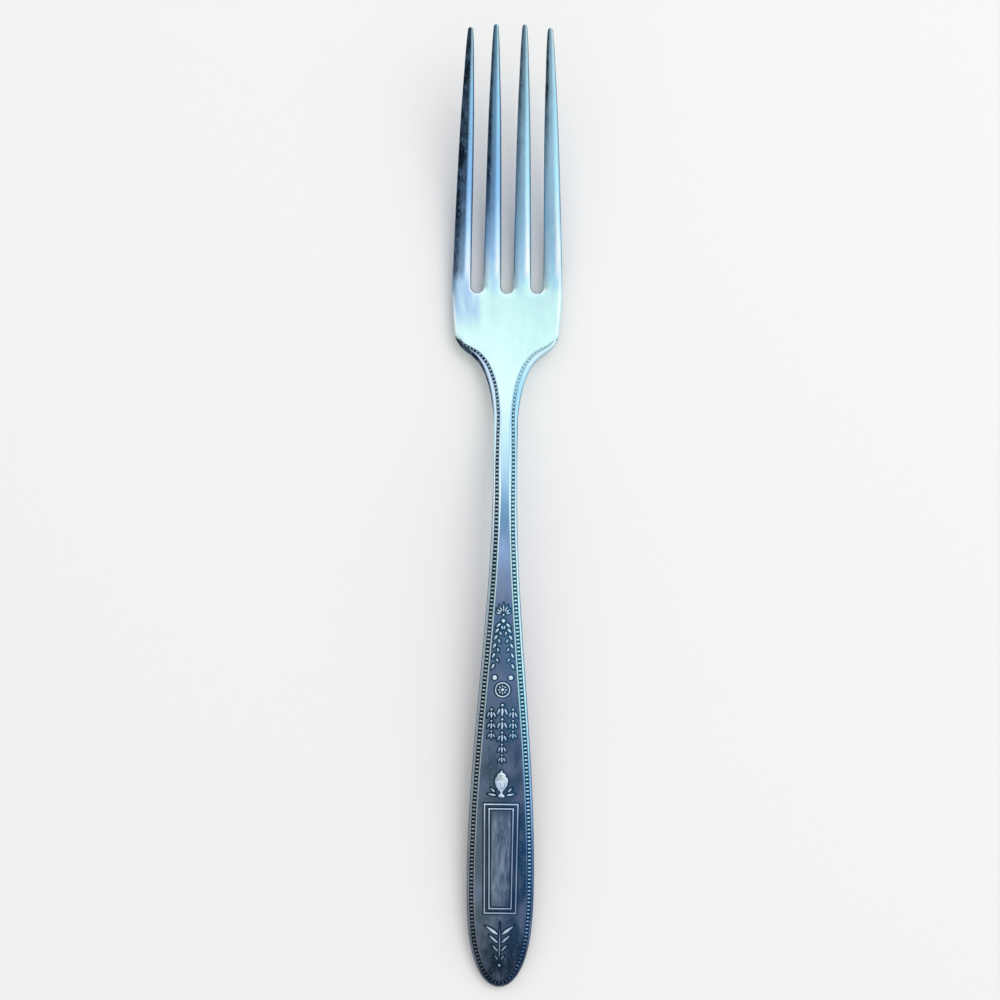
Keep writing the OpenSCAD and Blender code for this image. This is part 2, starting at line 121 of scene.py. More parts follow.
@dataclass(frozen=True)
class ForkForm:
    """Sizes of the forging, in millimetres, and the heights and widths that follow from them."""

    length: float = 190.0
    head_width: float = 22.1
    tip_height: float = 18.9
    handle_width: float = 13.5
    handle_widest_at: float = 24.0
    end_power: float = 3.2
    end_thickness: float = 2.4
    end_wear: float = 0.5
    handle_thickness: float = 3.0
    handle_straight_to: float = 84.0
    neck_width: float = 4.8
    neck_from: float = 100.0
    neck_to: float = 110.0
    crest_at: float = 92.0
    crest_height: float = 10.9
    neck_thickness: float = 3.9
    taper_straight_share: float = 0.25
    shoulder_at: float = 130.6
    shoulder_width: float = 20.8
    heel_at: float = 134.0
    heel_wear: float = 0.06
    palm_thickness: float = 2.75
    root_thickness: float = 2.6
    palm_dish: float = 0.5
    back_crown_share: float = 0.34
    slot_end_at: float = 139.8
    slot_width: float = 2.45
    inner_tine_width: float = 3.58
    inner_tip_offset: float = 2.77
    outer_tip_offset: float = 7.7
    outer_tine_setback: float = 0.6
    edge_round: float = 0.26
    handle_dish: float = 0.2
    dish_start: float = 12.0
    dish_to: float = 62.0
    dish_fade: float = 34.0
    shoulder_shares: tuple[tuple[float, float], ...] = (
        (0, 0), (0.25, 0.015), (0.5, 0.115), (0.7, 0.3), (0.8, 0.5), (0.9, 0.82), (1, 1))

    @property
    def root_at(self) -> float:
        """Place of the slots' round ends' centres, where the tines start."""
        return self.slot_end_at + self.slot_width / 2

    @property
    def slot_pitch(self) -> float:
        """Distance from slot to slot."""
        return self.slot_width + self.inner_tine_width

    @property
    def outer_tine_width(self) -> float:
        """Width of an outer tine at its root."""
        return self.head_width / 2 - self.slot_pitch - self.slot_width / 2

    @property
    def rise_slope(self) -> float:
        """Rise of the handle's straight face for each unit of its length."""
        end_face = self.end_thickness - self.end_wear
        return 2 * (self.crest_height - end_face) / (self.handle_straight_to + self.crest_at)

    def half_width(self, u: np.ndarray) -> np.ndarray:
        """Half the outline's width: a round end, a taper, an even neck, shoulders and the head.

        The end is a superellipse, the taper is part cosine and part straight line, the shoulders
        are a smooth curve through their shares, and the head widens by a quarter of a sine.

        Args:
            u: Places along the fork.

        Returns:
            Half widths, in the shape of u.
        """
        u = np.asarray(u, float)
        from_end = np.clip(1 - u / self.handle_widest_at, 0, 1)
        end = self.handle_width / 2 * np.sqrt(1 - from_end**self.end_power)
        t = np.clip((u - self.handle_widest_at) / (self.neck_from - self.handle_widest_at), 0, 1)
        blend = (1 - self.taper_straight_share) * half_cosine(t) + self.taper_straight_share * (1 - t)
        taper = self.neck_width / 2 + (self.handle_width - self.neck_width) / 2 * blend
        t = np.clip((u - self.neck_to) / (self.shoulder_at - self.neck_to), 0, 1)
        grow = smooth_curve(list(self.shoulder_shares), t)
        shoulder = self.neck_width / 2 + (self.shoulder_width - self.neck_width) / 2 * grow
        t = np.clip((u - self.shoulder_at) / (self.root_at - self.shoulder_at), 0, 1)
        widening = (self.head_width - self.shoulder_width) / 2
        head = self.shoulder_width / 2 + widening * np.sin(math.pi / 2 * t)
        return np.select([u < self.handle_widest_at, u < self.neck_to, u < self.shoulder_at],
                         [end, taper, shoulder], head)

    def face_centre(self, u: np.ndarray) -> np.ndarray:
        """Height of the face on the centre line.

        The handle rises straight, bends over to the crest as a parabola, falls to the heel as half
        a cosine, and the tines rise as a parabola.

        Args:
            u: Places along the fork.

        Returns:
            Heights above the table, in the shape of u.
        """
        u = np.asarray(u, float)
        end_face = self.end_thickness - self.end_wear
        heel_face = self.palm_thickness - self.heel_wear
        straight = end_face + self.rise_slope * u
        bend = self.crest_height - self.rise_slope * (self.crest_at - u) ** 2 / (
            2 * (self.crest_at - self.handle_straight_to))
        fall = heel_face + (self.crest_height - heel_face) * half_cosine(
            (u - self.crest_at) / (self.heel_at - self.crest_at))
        climb = heel_face + (self.tip_height - heel_face) * (
            (u - self.heel_at) / (self.length - self.heel_at)) ** 2
        return np.select([u < self.handle_straight_to, u < self.crest_at, u < self.heel_at],
                         [straight, bend, fall], climb)

    def face(self, x: np.ndarray, u: np.ndarray) -> np.ndarray:
        """Height of the face: the centre line's and the dish."""
        return self.face_centre(u) + self.dish(x, u)

    def dish(self, x: np.ndarray, u: np.ndarray) -> np.ndarray:
        """Dish across the palm and the handle's wide end, growing with the square of x.

        Args:
            x: Places across the fork.
            u: Places along it.

        Returns:
            Heights to add to the centre line's.
        """
        palm = self.palm_dish * ease((u - self.neck_to) / (self.heel_at - self.neck_to))
        low = self.handle_dish * ease(u / self.dish_start) * ease((self.dish_to - u) / self.dish_fade)
        return palm * (2 * x / self.head_width) ** 2 + low * (2 * x / self.handle_width) ** 2

    def thickness(self, x: np.ndarray, u: np.ndarray) -> np.ndarray:
        """Thickness: a smooth curve along the fork, thinner towards the edges by a parabola.

        Args:
            x: Places across the fork.
            u: Places along it.

        Returns:
            The thicknesses.
        """
        knots = [(0, self.end_thickness), (self.handle_widest_at, self.handle_thickness),
                 (self.crest_at, self.neck_thickness), (self.heel_at, self.palm_thickness),
                 (self.root_at, self.root_thickness)]
        place = np.minimum(u, self.root_at)
        half = np.maximum(self.half_width(place), self.edge_round)
        crown = 1 - self.back_crown_share * np.minimum(np.abs(x) / half, 1) ** 2
        return smooth_curve(knots, place) * crown

    def place(self, x: np.ndarray, u: np.ndarray, z: np.ndarray) -> np.ndarray:
        """Points of the frame, in millimetres, from a place on the fork and a height."""
        x, u, z = np.broadcast_arrays(x, u, z)
        return np.stack([x, u - self.length / 2, z], axis=-1)


@dataclass(frozen=True)
class BorderForm:
    """Sizes of the border that runs round the handle, in millimetres, and its fall to the edge."""

    rim_inset: float = 0.14
    bead_insets: tuple[tuple[float, float], ...] = (
        (0, 0.95), (88, 0.95), (104, 0.78), (112, 0.9), (117, 1.14), (122, 1.34), (130, 1.28), (145, 1.28))
    outline_power: float = 3.6
    side_power: float = 3.2
    dome_power: float = 2.4
    ring_shares: tuple[float, ...] = (1, 1, 0.86, 0.55, 0)
    ring_marks: tuple[float, ...] = (1, 1, 0.7, 0.1, 0)
    left_ring_shade: tuple[float, ...] = (0, 0, 0.3, 0.5, 0)
    bead_length: float = 0.76
    bead_width: float = 0.46
    bead_height: float = 0.24
    bead_pitch: float = 0.78
    line_to: float = 1.69
    relief_height: float = 0.2
    end_row_length: float = 12.0
    channel_depth: float = 0.06
    fade: float = 1.2
    width: float = 1.78
    fall: float = 0.42
    fall_to: float = 136.0
    fall_fade: float = 8.0
    end_gap: float = 0.5
    narrow_from: float = 86.0
    narrow_to: float = 124.0
    narrow: float = 0.28
    squeeze_from: float = 126.0
    squeeze_to: float = 130.6
    squeezed_share: float = 0.45

    def reach(self) -> float:
        """Place along the fork where the border ends, short of the shoulder's corner."""
        return FORK.shoulder_at - self.end_gap

    def beads(self, u: np.ndarray) -> tuple[np.ndarray, np.ndarray]:
        """Distance from the edge to the beads' middles, and half their length, slimmer at the neck."""
        slimming = self.narrow * ease((u - self.narrow_from) / (self.narrow_to - self.narrow_from))
        return smooth_curve(list(self.bead_insets), u), (self.bead_length - slimming) / 2

    def squeeze(self, u: np.ndarray) -> np.ndarray:
        """Factor of the border's distances from the edge, smaller towards the shoulder's corner."""
        way = ease((u - self.squeeze_from) / (self.squeeze_to - self.squeeze_from))
        return 1 - (1 - self.squeezed_share) * way

    def drop(self, inset: np.ndarray, u: np.ndarray) -> np.ndarray:
        """How far the face falls towards the edge: the square of the share of the border's width."""
        share = np.clip(1 - inset / self.width, 0, 1)
        return self.fall * share**2 * ease((self.fall_to - u) / self.fall_fade)


@dataclass(frozen=True)
class OrnamentForm:
    """Sizes of the ornament on the handle, in millimetres, and the places that follow from them."""

    space: float = 1.2
    tablet_at: float = 15.1
    tablet_length: float = 22.6
    tablet_low_width: float = 6.6
    tablet_high_width: float = 7.0
    frame_line: float = 0.34
    frame_space: float = 0.58
    urn_height: float = 5.4
    urn_width: float = 2.7
    husk_length: float = 2.8
    husk_count: int = 5
    side_husk_count: int = 3
    side_drop_offset: float = 2.15
    side_husk_share: float = 0.8
    husk_shrink_share: float = 0.08
    husk_step_share: float = 1.04
    patera_radius: float = 1.55
    festoon_depth: float = 11.0
    festoon_reach: float = 1.6
    festoon_leaves: int = 7
    festoon_power: float = 1.6
    palmette_length: float = 2.4
    spray_length: float = 9.6
    spray_leaf: float = 3.3
    spray_pairs: int = 4
    relief_height: float = 0.2
    festoon_pair: tuple[tuple[float, ...], ...] = ((0, 0.1, 24, 0.84, 0.32), (0.5, -0.12, -30, 0.6, 0.26))
    urn_shares: tuple[tuple[float, float], ...] = (
        (0, 0.5), (0.07, 0.5), (0.11, 0.2), (0.19, 0.16), (0.28, 0.5), (0.44, 0.88), (0.6, 1), (0.72, 0.92),
        (0.76, 0.6), (0.8, 0.74), (0.88, 0.5), (0.92, 0.16), (1, 0.12))
    urn_leaves: tuple[tuple[float, ...], ...] = ((0.36, 0.06, 80, 1, 0.22), (0.46, 0.17, 44, 0.72, 0.28))

    def drop_length(self, length: float, count: float) -> float:
        """Length of so many husks of a drop, each smaller than the one that it hangs from."""
        return self.husk_step_share * length * count * (1 - self.husk_shrink_share * (count - 1) / 2)

    @property
    def urn_at(self) -> float:
        """Place of the urn's foot."""
        return self.tablet_at + self.tablet_length + self.space

    @property
    def husks_to(self) -> float:
        """Place that the middle drop hangs from."""
        drop = self.drop_length(self.husk_length, self.husk_count)
        return self.urn_at + self.urn_height + self.space + drop

    @property
    def patera_at(self) -> float:
        """Place of the patera's middle."""
        return self.husks_to + self.space + self.patera_radius

    @property
    def festoon_to(self) -> float:
        """Place where the festoon's two branches part."""
        return self.patera_at + self.patera_radius + self.space + self.festoon_depth

    @property
    def palmette_at(self) -> float:
        """Place of the palmette's foot."""
        return self.festoon_to + self.space

    @property
    def spray_at(self) -> float:
        """Place of the leaf spray's foot."""
        return self.tablet_at - self.space - self.spray_length


FORK = ForkForm()
BORDER = BorderForm()
ORNAMENT = OrnamentForm()


class Shell:
    """Grids of points that are joined into one closed mesh with a mark at each point for tarnished places,
    painted shade and painted highlights.
    """

    def __init__(self, name: str) -> None:
        """Start an empty shell.

        Args:
            name: Name of the piece.
        """
        self.name = name
        self.points: list[np.ndarray] = []
        self.marks: list[np.ndarray] = []
        self.quads: list[np.ndarray] = []
        self.count = 0

    def add(self, grid: np.ndarray, marks: np.ndarray | float = 0.0) -> None:
        """Add one grid, or a row of grids of one size, as quads between neighbouring points.

        Args:
            grid: Points in millimetres, shaped (..., rows, columns, 3).
            marks: Tarnished places and painted shade from 0 to 1 at the points, negative for painted
                highlights, or one value for all.
        """
        rows, columns = grid.shape[-3:-1]
        flat = grid.reshape(-1, rows, columns, 3)
        index = self.count + np.arange(flat.shape[0] * rows * columns).reshape(-1, rows, columns)
        corners = (index[:, :-1, :-1], index[:, :-1, 1:], index[:, 1:, 1:], index[:, 1:, :-1])
        self.points.append(flat.reshape(-1, 3))
        self.marks.append(np.broadcast_to(marks, grid.shape[:-1]).reshape(-1))
        self.quads.append(np.stack(corners, axis=-1).reshape(-1, 4))
        self.count += flat.shape[0] * rows * columns

    def bridge(self, first: np.ndarray, second: np.ndarray) -> None:
        """Close the gap between two lines of points, the second's points repeated to fit.

        Args:
            first: Points of the line with more points.
            second: Points of the line with fewer points, run the same way.
        """
        pick = np.round(np.linspace(0, len(second) - 1, len(first))).astype(int)
        self.add(np.stack([first, second[pick]]))

    def build(self, finish: bpy.types.Material, slot: Slot, nodes: tuple[str, ...],
              crease: float = 38.0, merge: float = 0.0004) -> bpy.types.Object:
        """Join the grids, turn the faces outwards and dress the piece.

        Args:
            finish: Material of the piece.
            slot: Slot of the record that the finish stands for; not used.
            nodes: Nodes of the frame that the piece stands for.
            crease: Angle in degrees above which an edge stays sharp.
            merge: Distance in millimetres within which points become one.

        Returns:
            The finished piece, riding on the fork's body.
        """
        mesh = bpy.data.meshes.new(self.name)
        quads = np.concatenate(self.quads).astype(np.int32)
        mesh.vertices.add(self.count)
        mesh.vertices.foreach_set("co", (np.concatenate(self.points) * MM).ravel())
        mesh.loops.add(quads.size)
        mesh.loops.foreach_set("vertex_index", quads.ravel())
        mesh.polygons.add(len(quads))
        mesh.polygons.foreach_set("loop_start", np.arange(0, quads.size, 4, dtype=np.int32))
        # the attribute holds tarnished places and painted shade as positive values and painted highlights as
        # negative ones
        tarnish_and_painted_light = mesh.attributes.new("tarnish_and_painted_light", "FLOAT", "POINT")
        tarnish_and_painted_light.data.foreach_set("value", np.concatenate(self.marks).astype(np.float32))
        mesh.update(calc_edges=True)
        work = bmesh.new()
        work.from_mesh(mesh)
        bmesh.ops.remove_doubles(work, verts=work.verts, dist=merge * MM)
        bmesh.ops.recalc_face_normals(work, faces=work.faces)
        work.to_mesh(mesh)
        work.free()
        mesh.polygons.foreach_set("use_smooth", np.ones(len(mesh.polygons), bool))
        mesh.set_sharp_from_angle(angle=math.radians(crease))
        mesh.materials.append(finish)
        piece = bpy.data.objects.new(self.name, mesh)
        bpy.context.scene.collection.objects.link(piece)
        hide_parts(*nodes)
        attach(piece, BODY)
        LOG.info("%s: %d faces", self.name, len(mesh.polygons))
        return piece


class Outline:
    """Right half of the fork's outline, from the middle of the handle's end to the tines' roots."""

    def __init__(self, fork: ForkForm, step: float = 0.14, corner_turn: float = 3.2,
                 corner_round: float = 0.25) -> None:
        """Walk the outline in even steps.

        The end is x = W sin(a), u = L (1 - cos(a)^(2/p)) for a from 0 to a right angle, and the rest
        follows half_width. Near the shoulder's corner the inward normal turns evenly, and the corner
        itself is a parabola between two points of the outline.

        Args:
            fork: Sizes of the forging.
            step: Distance between points, about.
            corner_turn: Length over which the normal turns at the corner.
            corner_round: Distance from the corner at which its rounding starts.
        """
        angle = np.linspace(0, math.pi / 2, 3000)
        beyond = np.linspace(fork.handle_widest_at, fork.root_at, 24000)[1:]
        x = np.concatenate([fork.handle_width / 2 * np.sin(angle), fork.half_width(beyond)])
        u = np.concatenate([fork.handle_widest_at * (1 - np.cos(angle) ** (2 / fork.end_power)), beyond])
        run = np.concatenate([[0], np.cumsum(np.hypot(np.diff(x), np.diff(u)))])
        heading = np.arctan2(np.gradient(u, run), np.gradient(x, run))
        heading[0] = 0
        self.cuts = [0.0]
        places = [np.zeros(1)]
        for stop in (fork.handle_straight_to, fork.neck_to, fork.shoulder_at, fork.root_at):
            here = float(np.interp(stop, u, run))
            steps = max(1, round((here - self.cuts[-1]) / step))
            places.append(np.linspace(self.cuts[-1], here, steps + 1)[1:])
            self.cuts.append(here)
        self.rows = np.cumsum([0] + [len(p) for p in places[1:]])
        self.run = np.concatenate(places)
        corner = self.cuts[3]
        start, end = corner - corner_turn / 2, corner + corner_turn / 2
        first, last = np.interp([start, end], run, heading)
        turned = np.interp(self.run, run, heading)
        near = (self.run > start) & (self.run < end)
        turned[near] = first + (last - first) * (self.run[near] - start) / (end - start)
        self.inward = np.stack([-np.sin(turned), np.cos(turned)], axis=-1)
        self.points = np.stack([np.interp(self.run, run, x), np.interp(self.run, run, u)], axis=-1)
        t = (self.run - corner + corner_round) / (2 * corner_round)
        near = (t > 0) & (t < 1)
        around = corner + corner_round * np.array([-1, 0, 1])
        knots = np.stack([np.interp(around, run, v) for v in (x, u)], axis=-1)
        weights = np.stack([(1 - t) ** 2, 2 * t * (1 - t), t**2], axis=-1)
        self.points[near] = (weights @ knots)[near]

    def inset(self, distance: np.ndarray) -> np.ndarray:
        """The outline moved inwards.

        Args:
            distance: Distances, shaped (rows, columns) or (columns,).

        Returns:
            Places (x, u), shaped (rows, columns, 2).
        """
        distance = np.broadcast_to(distance, (len(self.run), distance.shape[-1]))
        return self.points[:, None] + distance[..., None] * self.inward[:, None]

    def sample(self, inset: np.ndarray, spacing: np.ndarray) -> tuple[np.ndarray, np.ndarray]:
        """Points at given distances along the outline moved inwards, and the ways inwards there.

        Args:
            inset: How far inwards at each point of the outline.
            spacing: Distances along the moved outline, from the middle of the handle's end.

        Returns:
            Places (x, u) and unit ways inwards, each shaped (count, 2).
        """
        path, run = self.moved(inset)
        spots = np.stack([np.interp(spacing, run, path[:, i]) for i in (0, 1)], axis=-1)
        ways = np.stack([np.interp(spacing, run, self.inward[:, i]) for i in (0, 1)], axis=-1)
        return spots, ways / np.linalg.norm(ways, axis=-1, keepdims=True)

    def length(self, inset: np.ndarray, to_u: float) -> float:
        """Length of the moved outline up to a place along the fork."""
        path, run = self.moved(inset)
        return float(np.interp(to_u, path[:, 1], run))

    def moved(self, inset: np.ndarray) -> tuple[np.ndarray, np.ndarray]:
        """Points of the outline moved inwards by one distance each, and the way run to them."""
        path = self.inset(inset[:, None])[:, 0]
        return path, np.concatenate([[0], np.cumsum(np.hypot(*np.diff(path, axis=0).T))])


def highlight_line(distance: np.ndarray, at: float, half_width: float) -> np.ndarray:
    """Brightness across a painted highlight line: a bell curve round the line's distance from the edge.

    Args:
        distance: Distances from the edge.
        at: The line's own.
        half_width: Distance from the line at which the bell has fallen to 1/e.

    Returns:
        Shares from 0 to 1.
    """
    return np.exp(-(((distance - at) / half_width) ** 2))


@dataclass(frozen=True)
class EdgeTarnishAndPaintedLight:
    """Painted shade and painted highlights beside the edge on one side, and the dark of the tarnished bead
    channel, with places and widths in millimetres.

    The painted dark line gets wider and darker from shoulder_from on and stays clear of the palm up to
    clear_to. The painted highlight line round the palm ends at highlight_to.
    """

    shoulder_from: float
    line: float
    widening: float
    shoulder_shade: float
    flank_shade: float
    clear_to: float
    highlight_at: float
    highlight_to: float
    channel_mark: float
    channel_loss: float
    line_shade: float = 0.25
    soft: float = 0.2
    highlight_half_width: float = 0.17
    flank_to: float = 1.35
    flank_fade: float = 1.1
    flank_rise: float = 7.0
    shoulder_rise: float = 8.0
    run_out: float = 3.0
    loss_from: float = 114.0
    loss_rise: float = 9.0

    def flank(self, inset: np.ndarray) -> np.ndarray:
        """Painted shade on the side beside the palm, by the distance from the edge."""
        return self.flank_shade * ease((self.flank_to - inset) / self.flank_fade)

    def wear_and_highlight(self, inset: np.ndarray) -> np.ndarray:
        """Brightness of the painted highlight line, by the distance from the edge."""
        return highlight_line(inset, self.highlight_at, self.highlight_half_width)


# distance from the edge and half width of the painted highlight line round the slots and along the tines
SLOT_HIGHLIGHT = (0.3, 0.2)
# painted dark lines, painted flank shade and painted highlight lines beside the left and the right edge, with
# the tarnished bead channel
EDGE_TARNISH_AND_PAINTED_LIGHT = {
    Side.LEFT: EdgeTarnishAndPaintedLight(112, 0.5, 0, 0.7, 0.42, 137, 0.3, 141, 1, 0),
    Side.RIGHT: EdgeTarnishAndPaintedLight(102, 0.22, 0.16, 0.6, 0, 0, 0.5, FORK.length, 0.97, 0.5),
}


@dataclass
class Forging:
    """Handle, neck and palm: a face and a back carried along the outline, with worked edges."""

    outline: Outline
    finish: bpy.types.Material
    motif_points: np.ndarray
    handle_columns: int = 70
    back_columns: int = 14
    slot_columns: int = 30
    blend_from: float = 131.5
    root_power: float = 3.2
    halo: float = 0.26
    halo_depth: float = 0.05
    mark_reach: float = 0.28
    channel_soft: float = 0.1
    back_mark: float = 0.15
    edge_picks: tuple[int, ...] = (0, 6, 11, 13, 15, 16, 18)

    def edge(self, u: np.ndarray, depth: np.ndarray) -> tuple[np.ndarray, np.ndarray, np.ndarray]:
        """Profile of the forging's side, from the field to the middle of its thickness.

        On the handle it is flat, then a quarter circle and a straight wall. Near the tines it turns
        into a quarter of the superellipse that the tines have.

        Args:
            u: Places of the rows.
            depth: Thickness at the edge for each row.

        Returns:
            Distances from the edge and depths below the face, each shaped (rows, columns), and
            half the thickness of each row.
        """
        flat = np.linspace(1, 0, 13)[:-1]
        band = BORDER.width
        a = np.linspace(0, math.pi / 2, 5)
        r = FORK.edge_round
        plain_inset = np.concatenate([r + (band - r) * flat, r * (1 - np.sin(a)), [0, 0]])
        half = depth[:, None] / 2
        corner = np.broadcast_to(r * (1 - np.cos(a)), (len(u), len(a)))
        plain_drop = np.concatenate([np.zeros((len(u), len(flat))), corner, (r + half) / 2, half], axis=1)
        a = np.linspace(math.pi / 2, 0, plain_inset.size)
        tine_inset = FORK.outer_tine_width / 2 * (1 - np.cos(a) ** (2 / self.root_power))
        tine_drop = half * (1 - np.sin(a) ** (2 / self.root_power))
        mix = ease((u - self.blend_from) / (FORK.root_at - self.blend_from))[:, None]
        return (1 - mix) * plain_inset + mix * tine_inset, (1 - mix) * plain_drop + mix * tine_drop, half

    def worked(self, x: np.ndarray, u: np.ndarray) -> tuple[np.ndarray, np.ndarray]:
        """Depth struck into the face, and the tarnish that it holds, round the motifs.

        They fall off as exp(-(d / halo)^2) and exp(-(d / reach)^3), d being the distance to the
        nearest motif's outline.

        Args:
            x: Places across the fork.
            u: Places along it.

        Returns:
            Depths in millimetres and marks from 0 to 1.
        """
        far, slab = 9.0, 2.0
        near = np.full(x.shape, far)
        for low in np.arange(0, FORK.handle_straight_to, slab):
            here = (u >= low) & (u < low + slab)
            around = np.abs(self.motif_points[:, 1] - low - slab / 2) < slab / 2 + 4 * self.halo
            if here.any() and around.any():
                gap_x = x[here][:, None] - self.motif_points[around, 0]
                gap_u = u[here][:, None] - self.motif_points[around, 1]
                near[here] = np.sqrt((gap_x**2 + gap_u**2).min(axis=1))
        depth = self.halo_depth * np.exp(-((near / self.halo) ** 2))
        return depth, np.exp(-((near / self.mark_reach) ** 3))

    def channel(self, distance: np.ndarray, u: np.ndarray) -> np.ndarray:
        """Share of the bead channel's depth, 1 inside it and 0 outside, with soft edges.

        Args:
            distance: Distances from the edge.
            u: Places along the fork.

        Returns:
            The shares.
        """
        distance = distance / BORDER.squeeze(u)
        middle, half = BORDER.beads(u)
        soft = self.channel_soft
        inside = ease((distance - middle + half) / soft + 0.5) * ease((middle + half - distance) / soft + 0.5)
        return inside * ease((BORDER.reach() + 0.2 - u) / 0.6)

    def bands(self, rows: slice) -> tuple[np.ndarray, np.ndarray, np.ndarray, np.ndarray]:
        """Face and back beside the right edge, from the field to the middle of the side.

        Args:
            rows: Rows of the outline.

        Returns:
            Places (x, u), heights of the face and of the back, and distances from the edge.
        """
        edge_x, edge_u = self.outline.points[rows].T
        inset, drop, half = self.edge(edge_u, FORK.thickness(edge_x, edge_u))
        spots = self.outline.points[rows][:, None] + inset[..., None] * self.outline.inward[rows][:, None]
        x, u = np.maximum(spots[..., 0], 0), spots[..., 1]
        fall = BORDER.drop(inset, edge_u[:, None]) * (1 - drop / half)
        top = FORK.face(x, u) - drop - fall - BORDER.channel_depth * self.channel(inset, edge_u[:, None])
        back = np.maximum(FORK.face(x, u) - FORK.thickness(x, u) + drop, 0)
        return np.stack([x, u], axis=-1), top, back, inset

    def marks(self, side: Side, inset: np.ndarray, u: np.ndarray) -> np.ndarray:
        """Painted shade and the tarnished bead channel beside the edge, and painted highlights as negative
        values.

        The channel is tarnished dark, and the side under the left shoulder is dark as painted shade. Round
        the palm runs a thin painted highlight line, beside a painted dark one on the right.

        Args:
            side: Side of the fork.
            inset: Distances from the edge.
            u: Places along the fork.

        Returns:
            The marks.
        """
        edge_tarnish_and_light = EDGE_TARNISH_AND_PAINTED_LIGHT[side]
        shoulder = ease((u - edge_tarnish_and_light.shoulder_from) / edge_tarnish_and_light.shoulder_rise)
        shoulder = shoulder * ease(FORK.shoulder_at + 0.5 - u)
        dark = ease((edge_tarnish_and_light.line + edge_tarnish_and_light.widening * shoulder - inset) / edge_tarnish_and_light.soft)
        dark = dark * (edge_tarnish_and_light.line_shade + edge_tarnish_and_light.shoulder_shade * shoulder)
        flank = edge_tarnish_and_light.flank(inset) * ease((u - FORK.heel_at) / edge_tarnish_and_light.flank_rise)
        above = ease((u - FORK.shoulder_at - 0.2) / 0.8)
        painted_highlight = edge_tarnish_and_light.wear_and_highlight(inset) * above * ease((edge_tarnish_and_light.highlight_to - u) / edge_tarnish_and_light.run_out)
        loss = edge_tarnish_and_light.channel_loss * ease((u - edge_tarnish_and_light.loss_from) / edge_tarnish_and_light.loss_rise)
        channel = self.channel(inset, u) * (edge_tarnish_and_light.channel_mark - loss)
        clear = 1 - above * ease((edge_tarnish_and_light.clear_to - u) / edge_tarnish_and_light.run_out)
        return np.maximum(channel, np.maximum(dark, flank) * (1 - painted_highlight) * clear) - painted_highlight

    def add_bands(self, shell: Shell, rows: slice, picks: np.ndarray) -> tuple[np.ndarray, np.ndarray]:
        """Add both edges of a stretch.

        Args:
            shell: Shell that takes the grids.
            rows: Rows of the outline.
            picks: Points of the profile that the back uses.

        Returns:
            Inner edge of the right band, as x and u.
        """
        spots, top, back, inset = self.bands(rows)
        low = spots[:, picks]
        edge_u = self.outline.points[rows, 1, None]
        for side in Side:
            face = FORK.place(side.value * spots[..., 0], spots[..., 1], top)
            shell.add(face, self.marks(side, inset, edge_u))
            shell.add(FORK.place(side.value * low[..., 0], low[..., 1], back[:, picks]), self.back_mark)
        return spots[:, 0, 0], spots[:, 0, 1]

    def add_face(self, shell: Shell, x: np.ndarray, u: np.ndarray, worked: bool) -> None:
        """Add the face between the two bands.

        Args:
            shell: Shell that takes the grid.
            x: Places across the fork, shaped (rows, columns).
            u: Places along it, in the same shape.
            worked: Whether the ornament's ground is struck into the face.
        """
        depth, marks = self.worked(x, u) if worked else (0.0, 0.0)
        shell.add(FORK.place(x, u, FORK.face(x, u) - depth), marks)

    def add_back(self, shell: Shell, x: np.ndarray, u: np.ndarray) -> None:
        """Add the back between the two bands, cut flat where it touches the table."""
        shell.add(FORK.place(x, u, np.maximum(FORK.face(x, u) - FORK.thickness(x, u), 0)), self.back_mark)

    def add_cut(self, shell: Shell, row: int, shares: np.ndarray, back_shares: np.ndarray,
                picks: np.ndarray) -> None:
        """Close a stretch across the whole fork at one row of the outline.

        Args:
            shell: Shell that takes the grid.
            row: Row of the outline.
            shares: Columns of the face as shares of its half width.
            back_shares: Columns of the back.
            picks: Points of the profile that the back uses.
        """
        spots, top, back, _ = (part[0] for part in self.bands(slice(row, row + 1)))
        inner_x, inner_u = spots[0]
        lines = []
        lower = (back_shares, back, picks, 1.0)
        for columns, heights, keep, depth in ((shares, top, slice(None), 0.0), lower):
            x = (columns * inner_x)[1:-1]
            z = FORK.face(x, inner_u) - depth * FORK.thickness(x, inner_u)
            side = FORK.place(spots[keep, 0], spots[keep, 1], heights[keep])
            middle = FORK.place(x, np.full(x.shape, inner_u), np.maximum(z, 0))
            lines.append(np.concatenate([(side * (-1, 1, 1))[::-1], middle, side]))
        shell.bridge(*lines)

    def stretch(self, name: str, first: int, last: int, worked: bool) -> bpy.types.Object:
        """Build the handle or the neck between two cuts of the outline.

        Args:
            name: Name of the node.
            first: Index of the first cut.
            last: Index of the last cut.
            worked: Whether the face carries the ornament's ground.

        Returns:
            The piece.
        """
        shell = Shell(name + "_form")
        rows = slice(self.outline.rows[first], self.outline.rows[last] + 1)
        picks = np.array(self.edge_picks)
        shares = np.linspace(-1, 1, self.handle_columns + 1)
        back_shares = np.linspace(-1, 1, self.back_columns + 1)
        inner_x, inner_u = (line[:, None] for line in self.add_bands(shell, rows, picks))
        self.add_face(shell, inner_x * shares, inner_u + 0 * shares, worked)
        self.add_back(shell, inner_x * back_shares, inner_u + 0 * back_shares)
        for cut in (first, last):
            if cut:
                self.add_cut(shell, self.outline.rows[cut], shares, back_shares, picks)
        return shell.build(self.finish, Slot.PLATE, (name,))

